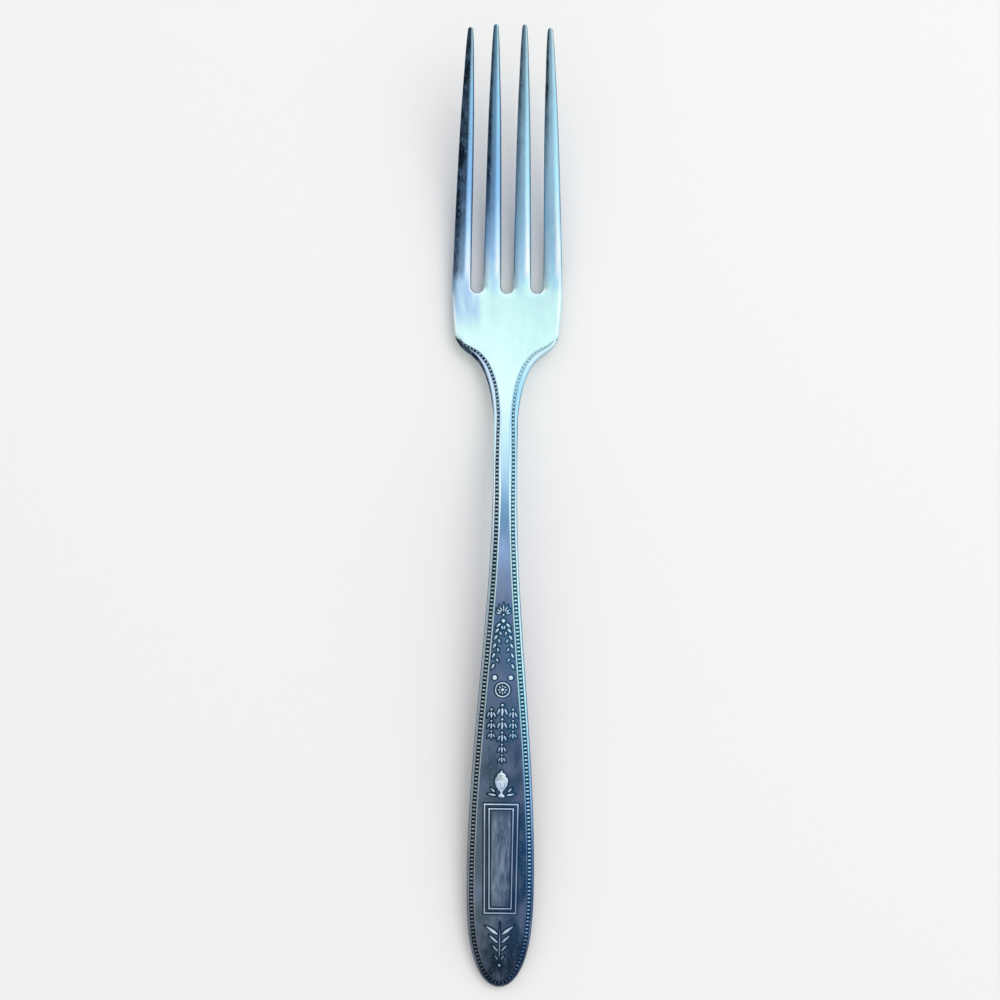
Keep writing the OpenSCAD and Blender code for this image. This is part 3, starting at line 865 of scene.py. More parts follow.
    def slot_reach(self, centre: float, angle: np.ndarray) -> np.ndarray:
        """Half width of the tine that each point of a slot's round end faces.

        Args:
            centre: Place of the slot across the fork.
            angle: Angles round the end, pi at its left and 0 at its right.

        Returns:
            The half widths.
        """
        outward = np.sign(centre) * np.cos(angle)
        share = (1 + outward) / 2 if centre else np.zeros(angle.shape)
        inner, outer = FORK.inner_tine_width / 2, FORK.outer_tine_width / 2
        return inner + (outer - inner) * ease(share)

    def slot_angles(self) -> np.ndarray:
        """Angles round a slot's end, from its left to its right."""
        return np.linspace(math.pi, 0, self.slot_columns + 1)

    def palm_top(self) -> tuple[np.ndarray, np.ndarray]:
        """Upper edge of the palm's field: the slots' ends moved out by half a tine.

        Returns:
            Places x and u of its points from left to right.
        """
        xs, us = [], []
        for slot in (-1, 0, 1):
            centre = slot * FORK.slot_pitch
            angle = self.slot_angles()
            reach = FORK.slot_width / 2 + self.slot_reach(centre, angle)
            skip = 0 if slot == -1 else 1
            xs.append((centre + reach * np.cos(angle))[skip:])
            us.append((FORK.root_at - reach * np.sin(angle))[skip:])
        return np.concatenate(xs), np.concatenate(us)

    def palm_shares(self) -> np.ndarray:
        """Columns of the palm as shares of the half width of its field."""
        x = self.palm_top()[0]
        return x / x[-1]

    def palm(self) -> bpy.types.Object:
        """Build the palm with both shoulders and the round ends of the three slots.

        Rows run straight across up to the shoulder, and from there each column is stretched to the
        upper edge of the field. Round each slot's end a quarter of the tines' superellipse is
        carried along a half circle.

        Returns:
            The piece.
        """
        shell = Shell("palm_form")
        rows = slice(self.outline.rows[2], self.outline.rows[4] + 1)
        shoulder = self.outline.rows[3] - self.outline.rows[2]
        every = np.arange(EDGE_POINTS)
        inner_x, inner_u = self.add_bands(shell, rows, every)
        shares = self.palm_shares()
        top_u = self.palm_top()[1]
        x = inner_x[:, None] * shares
        u = np.broadcast_to(inner_u[:, None], x.shape).copy()
        start = inner_u[shoulder]
        climb = (inner_u[shoulder:] - start) / (inner_u[-1] - start)
        u[shoulder:] = start + climb[:, None] * (top_u - start)
        self.add_face(shell, x, u, False)
        self.add_back(shell, x, u)
        for slot in (-1, 0, 1):
            self.add_slot_end(shell, slot * FORK.slot_pitch)
        for offset, width in tine_roots():
            self.add_root_cut(shell, offset, width)
        self.add_cut(shell, self.outline.rows[2], shares, shares, every)
        return shell.build(self.finish, Slot.PLATE, ("palm",))

    def add_slot_end(self, shell: Shell, centre: float) -> None:
        """Carry the tines' edge profile round the end of a slot.

        Args:
            shell: Shell that takes the grids.
            centre: Place of the slot across the fork.
        """
        angle = self.slot_angles()
        a = np.linspace(math.pi / 2, 0, EDGE_POINTS)
        away = self.slot_reach(centre, angle)[:, None] * (1 - np.cos(a) ** (2 / self.root_power))
        radius = FORK.slot_width / 2 + away
        x = centre + radius * np.cos(angle)[:, None]
        u = FORK.root_at - radius * np.sin(angle)[:, None]
        depth = FORK.thickness(x, u)
        drop = depth / 2 * (1 - np.sin(a) ** (2 / self.root_power))
        way_down = 2 * drop / depth
        # round the slot's end a painted highlight line runs beside the edge, and the wall is darker below
        # halfway down
        painted_highlight = highlight_line(away, *SLOT_HIGHLIGHT) * ease((0.5 - way_down) / 0.2)
        shell.add(FORK.place(x, u, FORK.face(x, u) - drop), 0.6 * ease((way_down - 0.4) / 0.3) - painted_highlight)
        shell.add(FORK.place(x, u, np.maximum(FORK.face(x, u) - depth + drop, 0)), self.back_mark)

    def add_root_cut(self, shell: Shell, offset: float, width: float) -> None:
        """Close the palm where a tine grows out of it.

        Args:
            shell: Shell that takes the grid.
            offset: Place of the tine's middle across the fork.
            width: Width of the tine at its root.
        """
        top, back = tine_section(offset, FORK.root_at, width, 1.0, self.root_power)
        shell.add(np.stack([top, back]), 0.0)


def tine_roots() -> list[tuple[float, float]]:
    """Middle and width of each tine at its root.

    Returns:
        Pairs of middle and width, from left to right.
    """
    inner = (FORK.slot_pitch / 2, FORK.inner_tine_width)
    outer = ((FORK.head_width - FORK.outer_tine_width) / 2, FORK.outer_tine_width)
    return [(-outer[0], outer[1]), (-inner[0], inner[1]), inner, outer]


def tine_section(middle: np.ndarray, u: np.ndarray, width: np.ndarray, depth_share: np.ndarray,
                 power: np.ndarray) -> tuple[np.ndarray, np.ndarray]:
    """Sections of a tine: superellipses that hang from the face.

    The half section is x = w cos(a)^(2/p), z = h sin(a)^(2/p), with its middle half a thickness
    below the face.

    Args:
        middle: Places of the sections' middles across the fork.
        u: Places along the fork.
        width: Full widths.
        depth_share: Thickness as a share of the palm's at the root.
        power: Powers p of the superellipses.

    Returns:
        Points of the upper and the lower half, each from left to right.
    """
    middle, u, width, depth_share, power = (
        np.asarray(v, float)[..., None] for v in np.broadcast_arrays(middle, u, width, depth_share, power))
    a = np.linspace(0, math.pi / 2, EDGE_POINTS)
    a = np.concatenate([a, math.pi - a[-2::-1]])
    across = -np.sign(np.cos(a)) * np.abs(np.cos(a)) ** (2 / power)
    lift = np.abs(np.sin(a)) ** (2 / power)
    lift = np.where(lift < 1e-9, 0, lift)
    x = middle + width / 2 * across
    depth = FORK.thickness(x, np.full(x.shape, FORK.root_at)) * depth_share
    face = FORK.face(x, u)
    return FORK.place(x, u, face - depth / 2 * (1 - lift)), FORK.place(x, u, face - depth / 2 * (1 + lift))


# painted light on each tine's left, middle and right: painted shade where positive, a painted highlight where
# negative, with a dark left flank and a bright stripe right of the middle
TINE_PAINTED_LIGHT: dict[tuple[TineKind, Side], tuple[Levels, Levels, Levels]] = {
    (TineKind.OUTER, Side.LEFT): ((0.8, 0.95, 0.87), (0.5, 0.75, 0.85), (-0.9, -0.7, -0.55)),
    (TineKind.INNER, Side.LEFT): ((-0.35, 0.78, 0.8), (0.0, 0.32, 0.27), (-0.9, -0.7, -1.0)),
    (TineKind.INNER, Side.RIGHT): ((-0.2, 0.38, 0.7), (-0.03, 0.18, 0.45), (-1.0, -0.8, -0.7)),
    (TineKind.OUTER, Side.RIGHT): ((-0.3, 0.15, 0.85), (0.0, 0.0, 0.25), (-0.9, -1.0, -0.9)),
}


@dataclass
class Tine:
    """One tine: a tapering row of superellipses that ends in a small round tip."""

    side: Side
    kind: TineKind
    finish: bpy.types.Material
    tip_round: float = 0.35
    tip_power: float = 2.0
    root_power: float = 3.2
    bend_power: float = 1.25
    edge_shade: float = 0.7
    back_mark: float = 0.3
    width_shares: tuple[tuple[float, float], ...] = (
        (0, 0.24), (0.006, 0.26), (0.02, 0.3), (0.067, 0.4), (0.13, 0.48), (0.32, 0.69), (0.58, 0.85), (1, 1))
    thickness_shares: tuple[tuple[float, float], ...] = (
        (0, 0.26), (0.006, 0.3), (0.02, 0.37), (0.067, 0.52), (0.3, 0.74), (1, 1))

    def build(self) -> bpy.types.Object:
        """Build the tine.

        Returns:
            The piece.
        """
        offset, width = tine_roots()[2 if self.kind is TineKind.INNER else 3]
        tip_offset = FORK.inner_tip_offset if self.kind is TineKind.INNER else FORK.outer_tip_offset
        setback = 0 if self.kind is TineKind.INNER else FORK.outer_tine_setback
        length = FORK.length - FORK.root_at - setback
        turn = np.linspace(0, math.pi / 2, 9)
        f = np.concatenate([np.linspace(0, 1 - self.tip_round / length, 150),
                            1 - self.tip_round / length * (1 - np.sin(turn[1:]))])
        left = (1 - f) * length
        close = np.sqrt(np.clip(1 - (1 - np.minimum(left / self.tip_round, 1)) ** 2, 0, 1))
        middle = self.side.value * (offset + (tip_offset - offset) * f**self.bend_power)
        power = self.root_power + (self.tip_power - self.root_power) * ease(2 * f)
        top, back = tine_section(
            middle, FORK.root_at + length * f,
            width * smooth_curve(list(self.width_shares), 1 - f) * close,
            smooth_curve(list(self.thickness_shares), 1 - f) * close, power)
        name = f"{self.kind.value}_tine_{self.side.name.lower()}"
        shell = Shell(name + "_form")
        half = np.maximum(np.abs(top[:, -1:, 0] - top[:, :1, 0]) / 2, 1e-6)
        across = (top[..., 0] - middle[:, None]) / half
        shell.add(top, self.marks(across, (1 - np.abs(across)) * half, f[:, None]))
        shell.add(back, self.back_mark)
        shell.add(np.stack([top[0], back[0]]))
        return shell.build(self.finish, Slot.PLATE, (name,))

    def marks(self, across: np.ndarray, away: np.ndarray, f: np.ndarray) -> np.ndarray:
        """Painted shade on the face, or painted highlights as negative values, from its left flank to its
        right.

        Each tine has values for its left, middle and right near the root, halfway and near the tip.
        The outermost edges are dark as painted shade, and the painted highlight lines of the palm and slots
        run out at the root.

        Args:
            across: Places across the tine from -1 to 1.
            away: Distances from its edge in millimetres.
            f: Places along it, from 0 at the root to 1 at the tip.

        Returns:
            Marks, shaped as the two together.
        """
        start = ease(f / 0.08)
        left, middle, right = (
            smooth_curve([(-0.01, low), (0.1, low), (0.4, half), (0.75, high), (1.01, high)], f)
            for low, half, high in TINE_PAINTED_LIGHT[self.kind, self.side])
        blend = left + (middle - left) * ease((across + 0.7) / 0.6)
        blend = (blend + (right - blend) * ease((across - 0.1) / 0.45)) * start
        outer = self.kind is TineKind.OUTER
        if outer and self.side is Side.LEFT:
            blend = np.where(across < 0, blend + EDGE_TARNISH_AND_PAINTED_LIGHT[self.side].flank(away) * (1 - start), blend)
        outward = (across * self.side.value > 0) * outer
        outer_line = EDGE_TARNISH_AND_PAINTED_LIGHT[self.side].wear_and_highlight(away) if self.side is Side.RIGHT else 0.0
        line = np.where(outward, outer_line, highlight_line(away, *SLOT_HIGHLIGHT))
        blend -= line * (1 - start) * (1 + np.minimum(blend, 0))
        # the outermost edges and the right edge near the root are darkened as painted shade
        edge = ease((np.abs(across + 0.01) - 0.88) / 0.08) * (0.3 + 0.7 * start)
        edge = np.maximum(edge, 0.8 * ease((across - 0.68) / 0.2) * ease(f / 0.35))
        return blend + (self.edge_shade - blend) * edge


@dataclass
class Border:
    """Rim, beads and inner line, carried along the outline from shoulder to shoulder."""

    outline: Outline
    finish: bpy.types.Material
    beads_finish: bpy.types.Material
    sunk: float = 0.06
    bar_power: float = 2.6
    shoulder_shade: float = 0.95
    shade_from: float = 113.0
    shade_rise: float = 8.0
    shade_reach: float = 0.45
    shade_growth: float = 0.5
    shade_grows_from: float = 123.0
    shade_grows_over: float = 5.0
    shade_soft: float = 0.3
    deep_from: float = 62.0
    deep_rise: float = 24.0

    def seated(self, spots: np.ndarray, inset: np.ndarray) -> np.ndarray:
        """Points of the face under places of the border that are an even distance from the edge."""
        x, u = np.moveaxis(spots, -1, 0)
        return FORK.place(x, u, FORK.face(x, u) - BORDER.drop(inset, u))

    def strip(self, name: str, low: np.ndarray, high: np.ndarray) -> bpy.types.Object:
        """Carry a rounded bar along the border between two distances from the edge.

        The bar's top is a superellipse over its width, and it sinks into the face at both ends.
        The left one carries painted shade near its outer edge towards the shoulder.

        Args:
            name: Name of the node.
            low: Distance to its outer edge at each point of the outline.
            high: Distance to its inner edge.

        Returns:
            The piece.
        """
        last = int(np.searchsorted(self.outline.points[:, 1], BORDER.reach()))
        across = np.concatenate([np.linspace(-1, 1, 9), [1, -1, -1]])
        rounded = (1 - np.abs(across[:9]) ** self.bar_power) ** (1 / self.bar_power)
        rise = np.concatenate([rounded, [0, 0, 0]])
        lift = np.concatenate([np.full(9, 1.0), [0, 0, 1]])
        edge_u = self.outline.points[: last + 1, 1, None]
        low, high = low[: last + 1, None], high[: last + 1, None]
        distance = (low + (high - low) / 2 * (1 + across)) * BORDER.squeeze(edge_u)
        beyond = np.repeat(distance[-1:], len(self.outline.run) - last - 1, axis=0)
        spots = self.outline.inset(np.concatenate([distance, beyond]))[: last + 1]
        run = self.outline.run[: last + 1]
        fade = np.sqrt(ease((run[-1] - run) / BORDER.fade))[:, None]
        fall = BORDER.drop(distance, spots[..., 1])
        rise = BORDER.relief_height * rise * fade
        z = FORK.face(spots[..., 0], spots[..., 1]) - fall - self.sunk + (rise + self.sunk) * lift
        x = np.maximum(spots[..., 0], 0)
        shell = Shell(name + "_form")
        growth = ease((edge_u - self.shade_grows_from) / self.shade_grows_over)
        reach = self.shade_reach + self.shade_growth * growth
        shade = self.shoulder_shade * ease((edge_u - self.shade_from) / self.shade_rise)
        shade = shade * ease((reach - distance) / self.shade_soft)
        for side in Side:
            shell.add(FORK.place(side.value * x, spots[..., 1], z), shade if side is Side.LEFT else 0.0)
            shell.add(FORK.place(side.value * x[-1:], spots[-1:, :, 1], z[-1:]).repeat(2, axis=0))
        return shell.build(self.finish, Slot.RELIEF, (name,))

    def row(self) -> tuple[np.ndarray, float, int]:
        """Path of the beads.

        Returns:
            Distances from the edge, the step from bead to bead, and the number of beads on a side.
        """
        places = self.outline.points[:, 1]
        distance = BORDER.beads(places)[0] * BORDER.squeeze(places)
        total = self.outline.length(distance, BORDER.reach() - BORDER.bead_width)
        count = round(total / BORDER.bead_pitch)
        return distance, total / (count + 0.5), count

    def beads(self, name: str, numbers: np.ndarray) -> bpy.types.Object:
        """Build a row of beads, short bars across the border with domed tops.

        A bead's outline is a superellipse, and its height falls with the share r of the way to the outline as
        (1 - r^p)^(1/2), p being the dome's power. The flanks along the border are tarnished dark, and darker
        on the left of the neck as painted shade.

        Args:
            name: Name of the node.
            numbers: Numbers of the beads along the path, negative on the left.

        Returns:
            The piece.
        """
        distance, step, _ = self.row()
        spots, inward = self.outline.sample(distance, np.abs(numbers) * step)
        inset = np.interp(spots[:, 1], self.outline.points[:, 1], distance)
        share = BORDER.beads(spots[:, 1])[1] * 2 / BORDER.bead_length * BORDER.squeeze(spots[:, 1])
        along = np.stack([-inward[:, 1], inward[:, 0]], axis=-1)
        reach = BORDER.bead_width / 2
        base = self.seated(spots, inset)
        step_in, step_on = reach * inward, reach * along
        across = self.seated(spots + step_in, inset + reach) - self.seated(spots - step_in, inset - reach)
        along = self.seated(spots + step_on, inset) - self.seated(spots - step_on, inset)
        across /= np.linalg.norm(across, axis=-1, keepdims=True)
        along /= np.linalg.norm(along, axis=-1, keepdims=True)
        up = np.cross(across, along)
        up *= np.sign(up[:, 2:])
        ring = np.array(BORDER.ring_shares)
        high = np.sqrt(np.maximum(1 - ring**BORDER.dome_power, 0)) * BORDER.bead_height
        high[0] = -self.sunk
        a = np.linspace(0, 2 * math.pi, 13)
        power_x, power_y = 2 / BORDER.outline_power, 2 / BORDER.side_power
        half_x = BORDER.bead_length / 2 * np.sign(np.cos(a)) * np.abs(np.cos(a)) ** power_x
        half_y = BORDER.bead_width / 2 * np.sign(np.sin(a)) * np.abs(np.sin(a)) ** power_y
        grid = (
            base[:, None, None]
            + across[:, None, None] * (ring[:, None] * half_x)[None, ..., None] * share[:, None, None, None]
            + along[:, None, None] * (ring[:, None] * half_y)[None, ..., None]
            + up[:, None, None] * high[None, :, None, None]
        )
        grid[..., 0] *= np.where(numbers < 0, -1.0, 1.0)[:, None, None]
        shell = Shell(name + "_form")
        # the left row's flanks darken towards the neck as painted shade
        deep = ease((spots[:, 1] - self.deep_from) / self.deep_rise) * (numbers < 0)
        flank = np.array(BORDER.ring_marks) + deep[:, None] * np.array(BORDER.left_ring_shade)
        shell.add(grid, flank[..., None] * ease(np.abs(np.sin(a)) * 1.3))
        foot = grid[:, 0]
        middle = np.broadcast_to(grid[:, :1, :-1].mean(axis=2), foot.shape)
        shell.add(np.stack([foot, middle], axis=1), 1.0)
        return shell.build(self.beads_finish, Slot.RELIEF, (name,), crease=60)

    def build(self) -> None:
        """Build both strips and the three rows of beads."""
        middle, half = BORDER.beads(self.outline.points[:, 1])
        self.strip("outer_rim_line", np.full(len(middle), BORDER.rim_inset), middle - half)
        self.strip("inner_rim_line", middle + half, np.maximum(BORDER.line_to, middle + half + 0.25))
        _, step, count = self.row()
        end_count = math.floor(BORDER.end_row_length / step)
        self.beads("right_beading", np.arange(end_count + 1, count + 1))
        self.beads("left_beading", -np.arange(end_count + 1, count + 1))
        self.beads("end_beading", np.arange(-end_count, end_count + 1))


def refine(grid: np.ndarray, factor: int) -> np.ndarray:
    """Put evenly spaced rows between the rows of a grid.

    Args:
        grid: Points, shaped (..., rows, columns, 3).
        factor: How many steps each step becomes.

    Returns:
        The finer grid.
    """
    rows = grid.shape[-3]
    t = np.linspace(0, rows - 1, (rows - 1) * factor + 1)
    low = np.minimum(t.astype(int), rows - 2)
    share = (t - low)[:, None, None]
    return (1 - share) * grid[..., low, :, :] + share * grid[..., low + 1, :, :]


@dataclass
class Motif:
    """One motif of the ornament: leaves, domes and its own grids, laid on the handle's face."""

    name: str
    at: float
    leaves: list[tuple[float, float, float, float, float]] = field(default_factory=list)
    domes: list[tuple[float, float, float, float]] = field(default_factory=list)
    grids: list[np.ndarray] = field(default_factory=list)
    edges: list[np.ndarray] = field(default_factory=list)
    sunk: float = 0.05
    seat: float = 0.02
    leaf_lean: float = 0.75
    leaf_fullness: float = 0.85
    leaf_crown: float = 0.8
    crease_depth: float = 0.3
    crease_half_width: float = 0.16
    contour: float = 0.09
    # dark foot of each relief, tarnished where it meets the face and painted shade that gives it form, and a
    # painted highlight along its crest
    foot_shade: float = 0.85
    crest_from: float = 0.7
    crest_rise: float = 0.25
    crest_highlight: float = 0.75

    def lay(self, local: np.ndarray) -> np.ndarray:
        """Lay local points on the face: turned about X by the face's rise and moved to the place.

        Args:
            local: Points whose y runs along the face and whose z stands on it.

        Returns:
            Points of the frame in millimetres.
        """
        rise = math.atan(FORK.rise_slope)
        x, y, z = np.moveaxis(local, -1, 0)
        height = float(FORK.face_centre(self.at)) + self.seat
        u = self.at + y * math.cos(rise) - z * math.sin(rise)
        return FORK.place(x, u, height + FORK.dish(x, u) + y * math.sin(rise) + z * math.cos(rise))

    def leaf_grids(self) -> np.ndarray:
        """All leaves: half-round spindles with a crease along the middle.

        The half width is the leaf's own times sin(pi t^a)^b, where t runs from the stalk to the tip,
        a is the lean and b the fullness. The height follows it and falls to the sides as a power of
        a sine, less a bell along the middle.

        Returns:
            Local points, shaped (leaves, rows, columns, 3).
        """
        x, y, angle, length, width = (np.array(v, float)[:, None, None] for v in zip(*self.leaves))
        t = np.linspace(0, 1, 12)[:, None]
        form = np.maximum(np.sin(math.pi * t**self.leaf_lean), 0) ** self.leaf_fullness
        turn = np.linspace(0, math.pi, 11)
        across = np.concatenate([np.cos(turn), [-1, 1, 1]])
        crease = 1 - self.crease_depth * np.exp(-((np.cos(turn) / self.crease_half_width) ** 2))
        rise = np.concatenate([np.sin(turn) ** self.leaf_crown * crease, [0, 0, 0]])
        high = (width / 2 + self.sunk) * form * rise - self.sunk
        s = width / 2 * form * across
        along = length * t + 0 * s
        turned = np.radians(angle)
        return np.stack([x + s * np.cos(turned) - along * np.sin(turned),
                         y + s * np.sin(turned) + along * np.cos(turned), high], axis=-1)

    def dome_grids(self) -> np.ndarray:
        """All domes: half ellipsoids in rings of sixteen points.

        Returns:
            Local points, shaped (domes, rows, columns, 3).
        """
        x, y, radius, height = (np.array(v, float)[:, None, None] for v in zip(*self.domes))
        turn = np.linspace(0, math.pi / 2, 7)
        out = np.concatenate([[0], np.cos(turn)])[:, None]
        up = np.concatenate([[0], np.sin(turn)])[:, None]
        a = np.linspace(0, 2 * math.pi, 17)
        return np.stack(np.broadcast_arrays(x + radius * out * np.cos(a), y + radius * out * np.sin(a),
                                            (height + self.sunk) * up - self.sunk), axis=-1)

    def outlines(self) -> np.ndarray:
        """Places of the motif's outlines on the handle.

        Returns:
            Places (x, u), shaped (count, 2).
        """
        local = [refine(edge, 10).reshape(-1, 3)[:, :2] for edge in self.edges]
        if self.leaves:
            local.append(refine(self.leaf_grids()[:, :, [0, 5, 10]], 5).reshape(-1, 3)[:, :2])
        if self.domes:
            local.append(self.dome_grids()[:, 1].reshape(-1, 3)[:, :2])
        flat = np.concatenate(local)
        rise = math.cos(math.atan(FORK.rise_slope))
        return np.stack([flat[:, 0], self.at + flat[:, 1] * rise], axis=-1)

    def build(self, finish: bpy.types.Material) -> bpy.types.Object:
        """Build the motif as one piece of closed shells.

        Args:
            finish: Material of the relief.

        Returns:
            The piece.
        """
        shell = Shell(self.name + "_form")
        grids = list(self.grids)
        if self.leaves:
            grids.append(self.leaf_grids())
        if self.domes:
            grids.append(self.dome_grids())
        for grid in grids:
            height = grid[..., 2]
            # painted highlight on the crests, and a dark foot that is partly tarnished and partly painted
            # shade
            crest = ease((height / max(float(height.max()), 1e-6) - self.crest_from) / self.crest_rise)
            foot = 1 - ease(height / self.contour)
            shell.add(self.lay(grid), self.foot_shade * foot - self.crest_highlight * crest)
        return shell.build(finish, Slot.RELIEF, (self.name,), crease=50)


@dataclass
class Ornament:
    """The struck ornament on the handle's centre line."""

    form: OrnamentForm

    def drop(self, name: str, top: float, length: float, count: int, x: float) -> Motif:
        """A drop of husks: three hanging leaves under a bead, each husk smaller than the last.

        Args:
            name: Name of the node.
            top: Place that the drop hangs from.
            length: Length of its first husk.
            count: How many husks.
            x: Distance from the centre line.

        Returns:
            The motif.
        """
        motif = Motif(name, top)
        for i in range(count):
            size = length * (1 - self.form.husk_shrink_share * i)
            foot = -self.form.drop_length(length, i) - size
            bead = size / 9
            motif.domes.append((x, foot + size - bead, bead, bead))
            motif.leaves.append((x, foot + size - 2.5 * bead, 180, size - 2.5 * bead, size / 5))
            for way in (-1, 1):
                motif.leaves.append((x + way * 0.17 * size, foot + size - 3.2 * bead, 180 + way * 24,
                                     size * 0.56, size / 6))
        return motif

    def line_section(self, power: float, sunk: float) -> tuple[np.ndarray, np.ndarray]:
        """Section of a rounded line, closed below the face.

        Args:
            power: Power of the sine that its height follows.
            sunk: How deep it stands in the face.

        Returns:
            Places across it from 1 to -1, and heights.
        """
        turn = np.linspace(0, math.pi, 9)
        high = np.sin(turn) ** power * (self.form.relief_height + sunk)
        return np.concatenate([np.cos(turn), [-1, 1, 1]]), np.concatenate([high, [0, 0, 0]]) - sunk

    def patera(self) -> Motif:
        """A round flower of eight petals in a ring.

        Returns:
            The motif.
        """
        radius = self.form.patera_radius
        motif = Motif("patera", self.form.patera_at)
        motif.domes.append((0, 0, radius * 0.22, self.form.relief_height))
        foot, petal = radius * 0.28, radius * 0.42
        for turn in range(0, 360, 45):
            a = math.radians(turn)
            motif.leaves.append((-math.sin(a) * foot, math.cos(a) * foot, turn, petal, petal * 0.52))
        a = np.linspace(0, 2 * math.pi, 73)[:, None]
        across, up = self.line_section(1, motif.sunk)
        out = radius * (0.9 + 0.1 * across)
        motif.grids.append(np.stack(np.broadcast_arrays(out * np.cos(a), out * np.sin(a), up), axis=-1))
        motif.edges.append(motif.grids[0][:, [0, 8]])
        return motif

    def palmette(self) -> Motif:
        """A fan of seven leaves over a bead, pointing to the neck.

        Returns:
            The motif.
        """
        length = self.form.palmette_length
        motif = Motif("palmette", self.form.palmette_at)
        motif.domes.append((0, 0, length / 10, self.form.relief_height))
        for i in range(-3, 4):
            a = math.radians(24 * i)
            motif.leaves.append((-math.sin(a) * 0.22 * length, math.cos(a) * 0.22 * length, 24 * i,
                                 length * (0.78 - 0.1 * abs(i)), length * 0.13))
        return motif

    def bow(self, t: float) -> tuple[float, float]:
        """Place on a festoon's branch: a quarter sine across and a power of t along, towards the end."""
        return (self.form.festoon_reach * math.sin(math.pi / 2 * t),
                -self.form.festoon_depth * math.copysign(abs(t) ** self.form.festoon_power, t))

    def festoon(self) -> Motif:
        """Two laurel branches that part from one bead and run out to rosettes.

        Returns:
            The motif.
        """
        form = self.form
        motif = Motif("laurel_festoon", form.festoon_to)
        size = form.festoon_depth / form.festoon_leaves
        motif.domes.append((0, 0, size / 4, form.relief_height))
        count = form.festoon_leaves
        for side in (1, -1):
            for i in range(1, count):
                ahead, behind = self.bow(i / count + 0.5 / count), self.bow(i / count - 0.5 / count)
                lean = math.degrees(math.atan2(ahead[0] - behind[0], behind[1] - ahead[1]))
                for back, aside, splay, length, width in form.festoon_pair[: min(i, 2)]:
                    x, y = self.bow((i - back) / count)
                    motif.leaves.append((side * (x + size * aside), y, side * (180 + lean + splay),
                                         size * length, size * width))
            x, y = self.bow(1)
            motif.domes.append((side * x, y - size / 4, size * 0.32, form.relief_height))
        return motif

    def urn(self) -> Motif:
        """An urn with a fluted bowl between two pairs of leaves, standing on the tablet.

        Its relief is a solid of revolution pressed flat: the height follows the cosine of the way
        from the middle to the outline, and the bowl's flutes are a cosine across it.

        Returns:
            The motif.
        """
        form = self.form
        motif = Motif("urn", form.urn_at)
        t = np.linspace(0, 1, 57)
        radius = np.interp(t, *np.array(form.urn_shares).T) * form.urn_width / 2
        radius = np.concatenate([[0], radius, [0]])[:, None]
        y = np.concatenate([[0], t, [1]])[:, None] * form.urn_height
        turn = np.linspace(-1, 1, 21)
        across = np.concatenate([turn, [1, -1, -1]])
        way_up = y / form.urn_height
        bowl = ease((way_up - 0.2) / 0.1) * ease((0.62 - way_up) / 0.1)
        flutes = (1 - np.cos(turn * 6 * math.pi)) / 2
        crown = np.cos(turn * math.pi / 2) ** 0.45 * (1 - 0.6 * bowl * flutes)
        high = np.concatenate([crown, np.zeros((len(y), 3))], axis=1) * form.relief_height
        full = np.minimum(radius / (0.3 * form.urn_width), 1) ** 0.5
        z = (high * full * 1.2 + motif.sunk * np.concatenate([np.ones(21), [0, 0, 1]])) - motif.sunk
        motif.grids.append(np.stack(np.broadcast_arrays(radius * across, y, z), axis=-1))
        motif.edges.append(motif.grids[0][:, [0, 20]])
        leaf = form.urn_width * 0.7
        for side in (1, -1):
            for across, up, splay, share, width in form.urn_leaves:
                size = leaf * share
                motif.leaves.append((side * form.urn_width * across, form.urn_height * up, -side * splay,
                                     size, size * width))
        return motif

    def frame(self, name: str, inward: float) -> Motif:
        """A frame line of the tablet: a half-round bar carried round four mitred corners.

        Args:
            name: Name of the node.
            inward: Distance from the outer frame's outer edge.

        Returns:
            The motif.
        """
        form = self.form
        motif = Motif(name, form.tablet_at + inward, crest_highlight=0.1)
        across, up = self.line_section(0.6, motif.sunk)
        step = form.frame_line * (0.5 - 0.5 * across)
        low, high = form.tablet_low_width / 2 - inward, form.tablet_high_width / 2 - inward
        length = form.tablet_length - 2 * inward
        corners = []
        for side, end in ((-1, 0), (1, 0), (1, 1), (-1, 1), (-1, 0)):
            x = side * ((high if end else low) - step)
            corners.append(np.stack([x, end * length + (1 - 2 * end) * step, up], axis=-1))
        t = np.linspace(0, 1, 30)[:, None, None]
        motif.grids.extend(start + t * (stop - start) for start, stop in zip(corners, corners[1:]))
        motif.edges.extend(grid[:, [0, 8]] for grid in motif.grids)
        return motif

    def spray(self) -> Motif:
        """A stem with four pairs of leaves that grow towards the tablet.

        Returns:
            The motif.
        """
        form = self.form
        motif = Motif("leaf_spray", form.spray_at)
        stem = form.spray_leaf / 12
        motif.domes.append((0, stem, stem, form.relief_height))
        motif.leaves.append((0, form.spray_length * 0.12, 0, form.spray_length * 0.84, stem))
        for i in range(form.spray_pairs):
            f = i / (form.spray_pairs - 1)
            size = form.spray_leaf * (0.42 + 0.58 * f)
            for side in (-1, 1):
                motif.leaves.append((side * stem * 0.9, form.spray_length * (0.14 + 0.54 * f),
                                     -side * (36 + 18 * f), size, size * 0.2))
        return motif

    def motifs(self) -> list[Motif]:
        """Every motif.

        Returns:
            The motifs, from the neck to the handle's end.
        """
        form = self.form
        side_top = form.husks_to - form.husk_length / 3
        size, count = form.husk_length * form.side_husk_share, form.side_husk_count
        away = form.side_drop_offset
        return [
            self.palmette(), self.festoon(), self.patera(),
            self.drop("husk_drop", form.husks_to, form.husk_length, form.husk_count, 0),
            self.drop("left_husk_drop", side_top, size, count, -away),
            self.drop("right_husk_drop", side_top, size, count, away),
            self.urn(), self.frame("tablet_outer_frame", 0),
            self.frame("tablet_inner_frame", form.frame_line + form.frame_space), self.spray(),
        ]


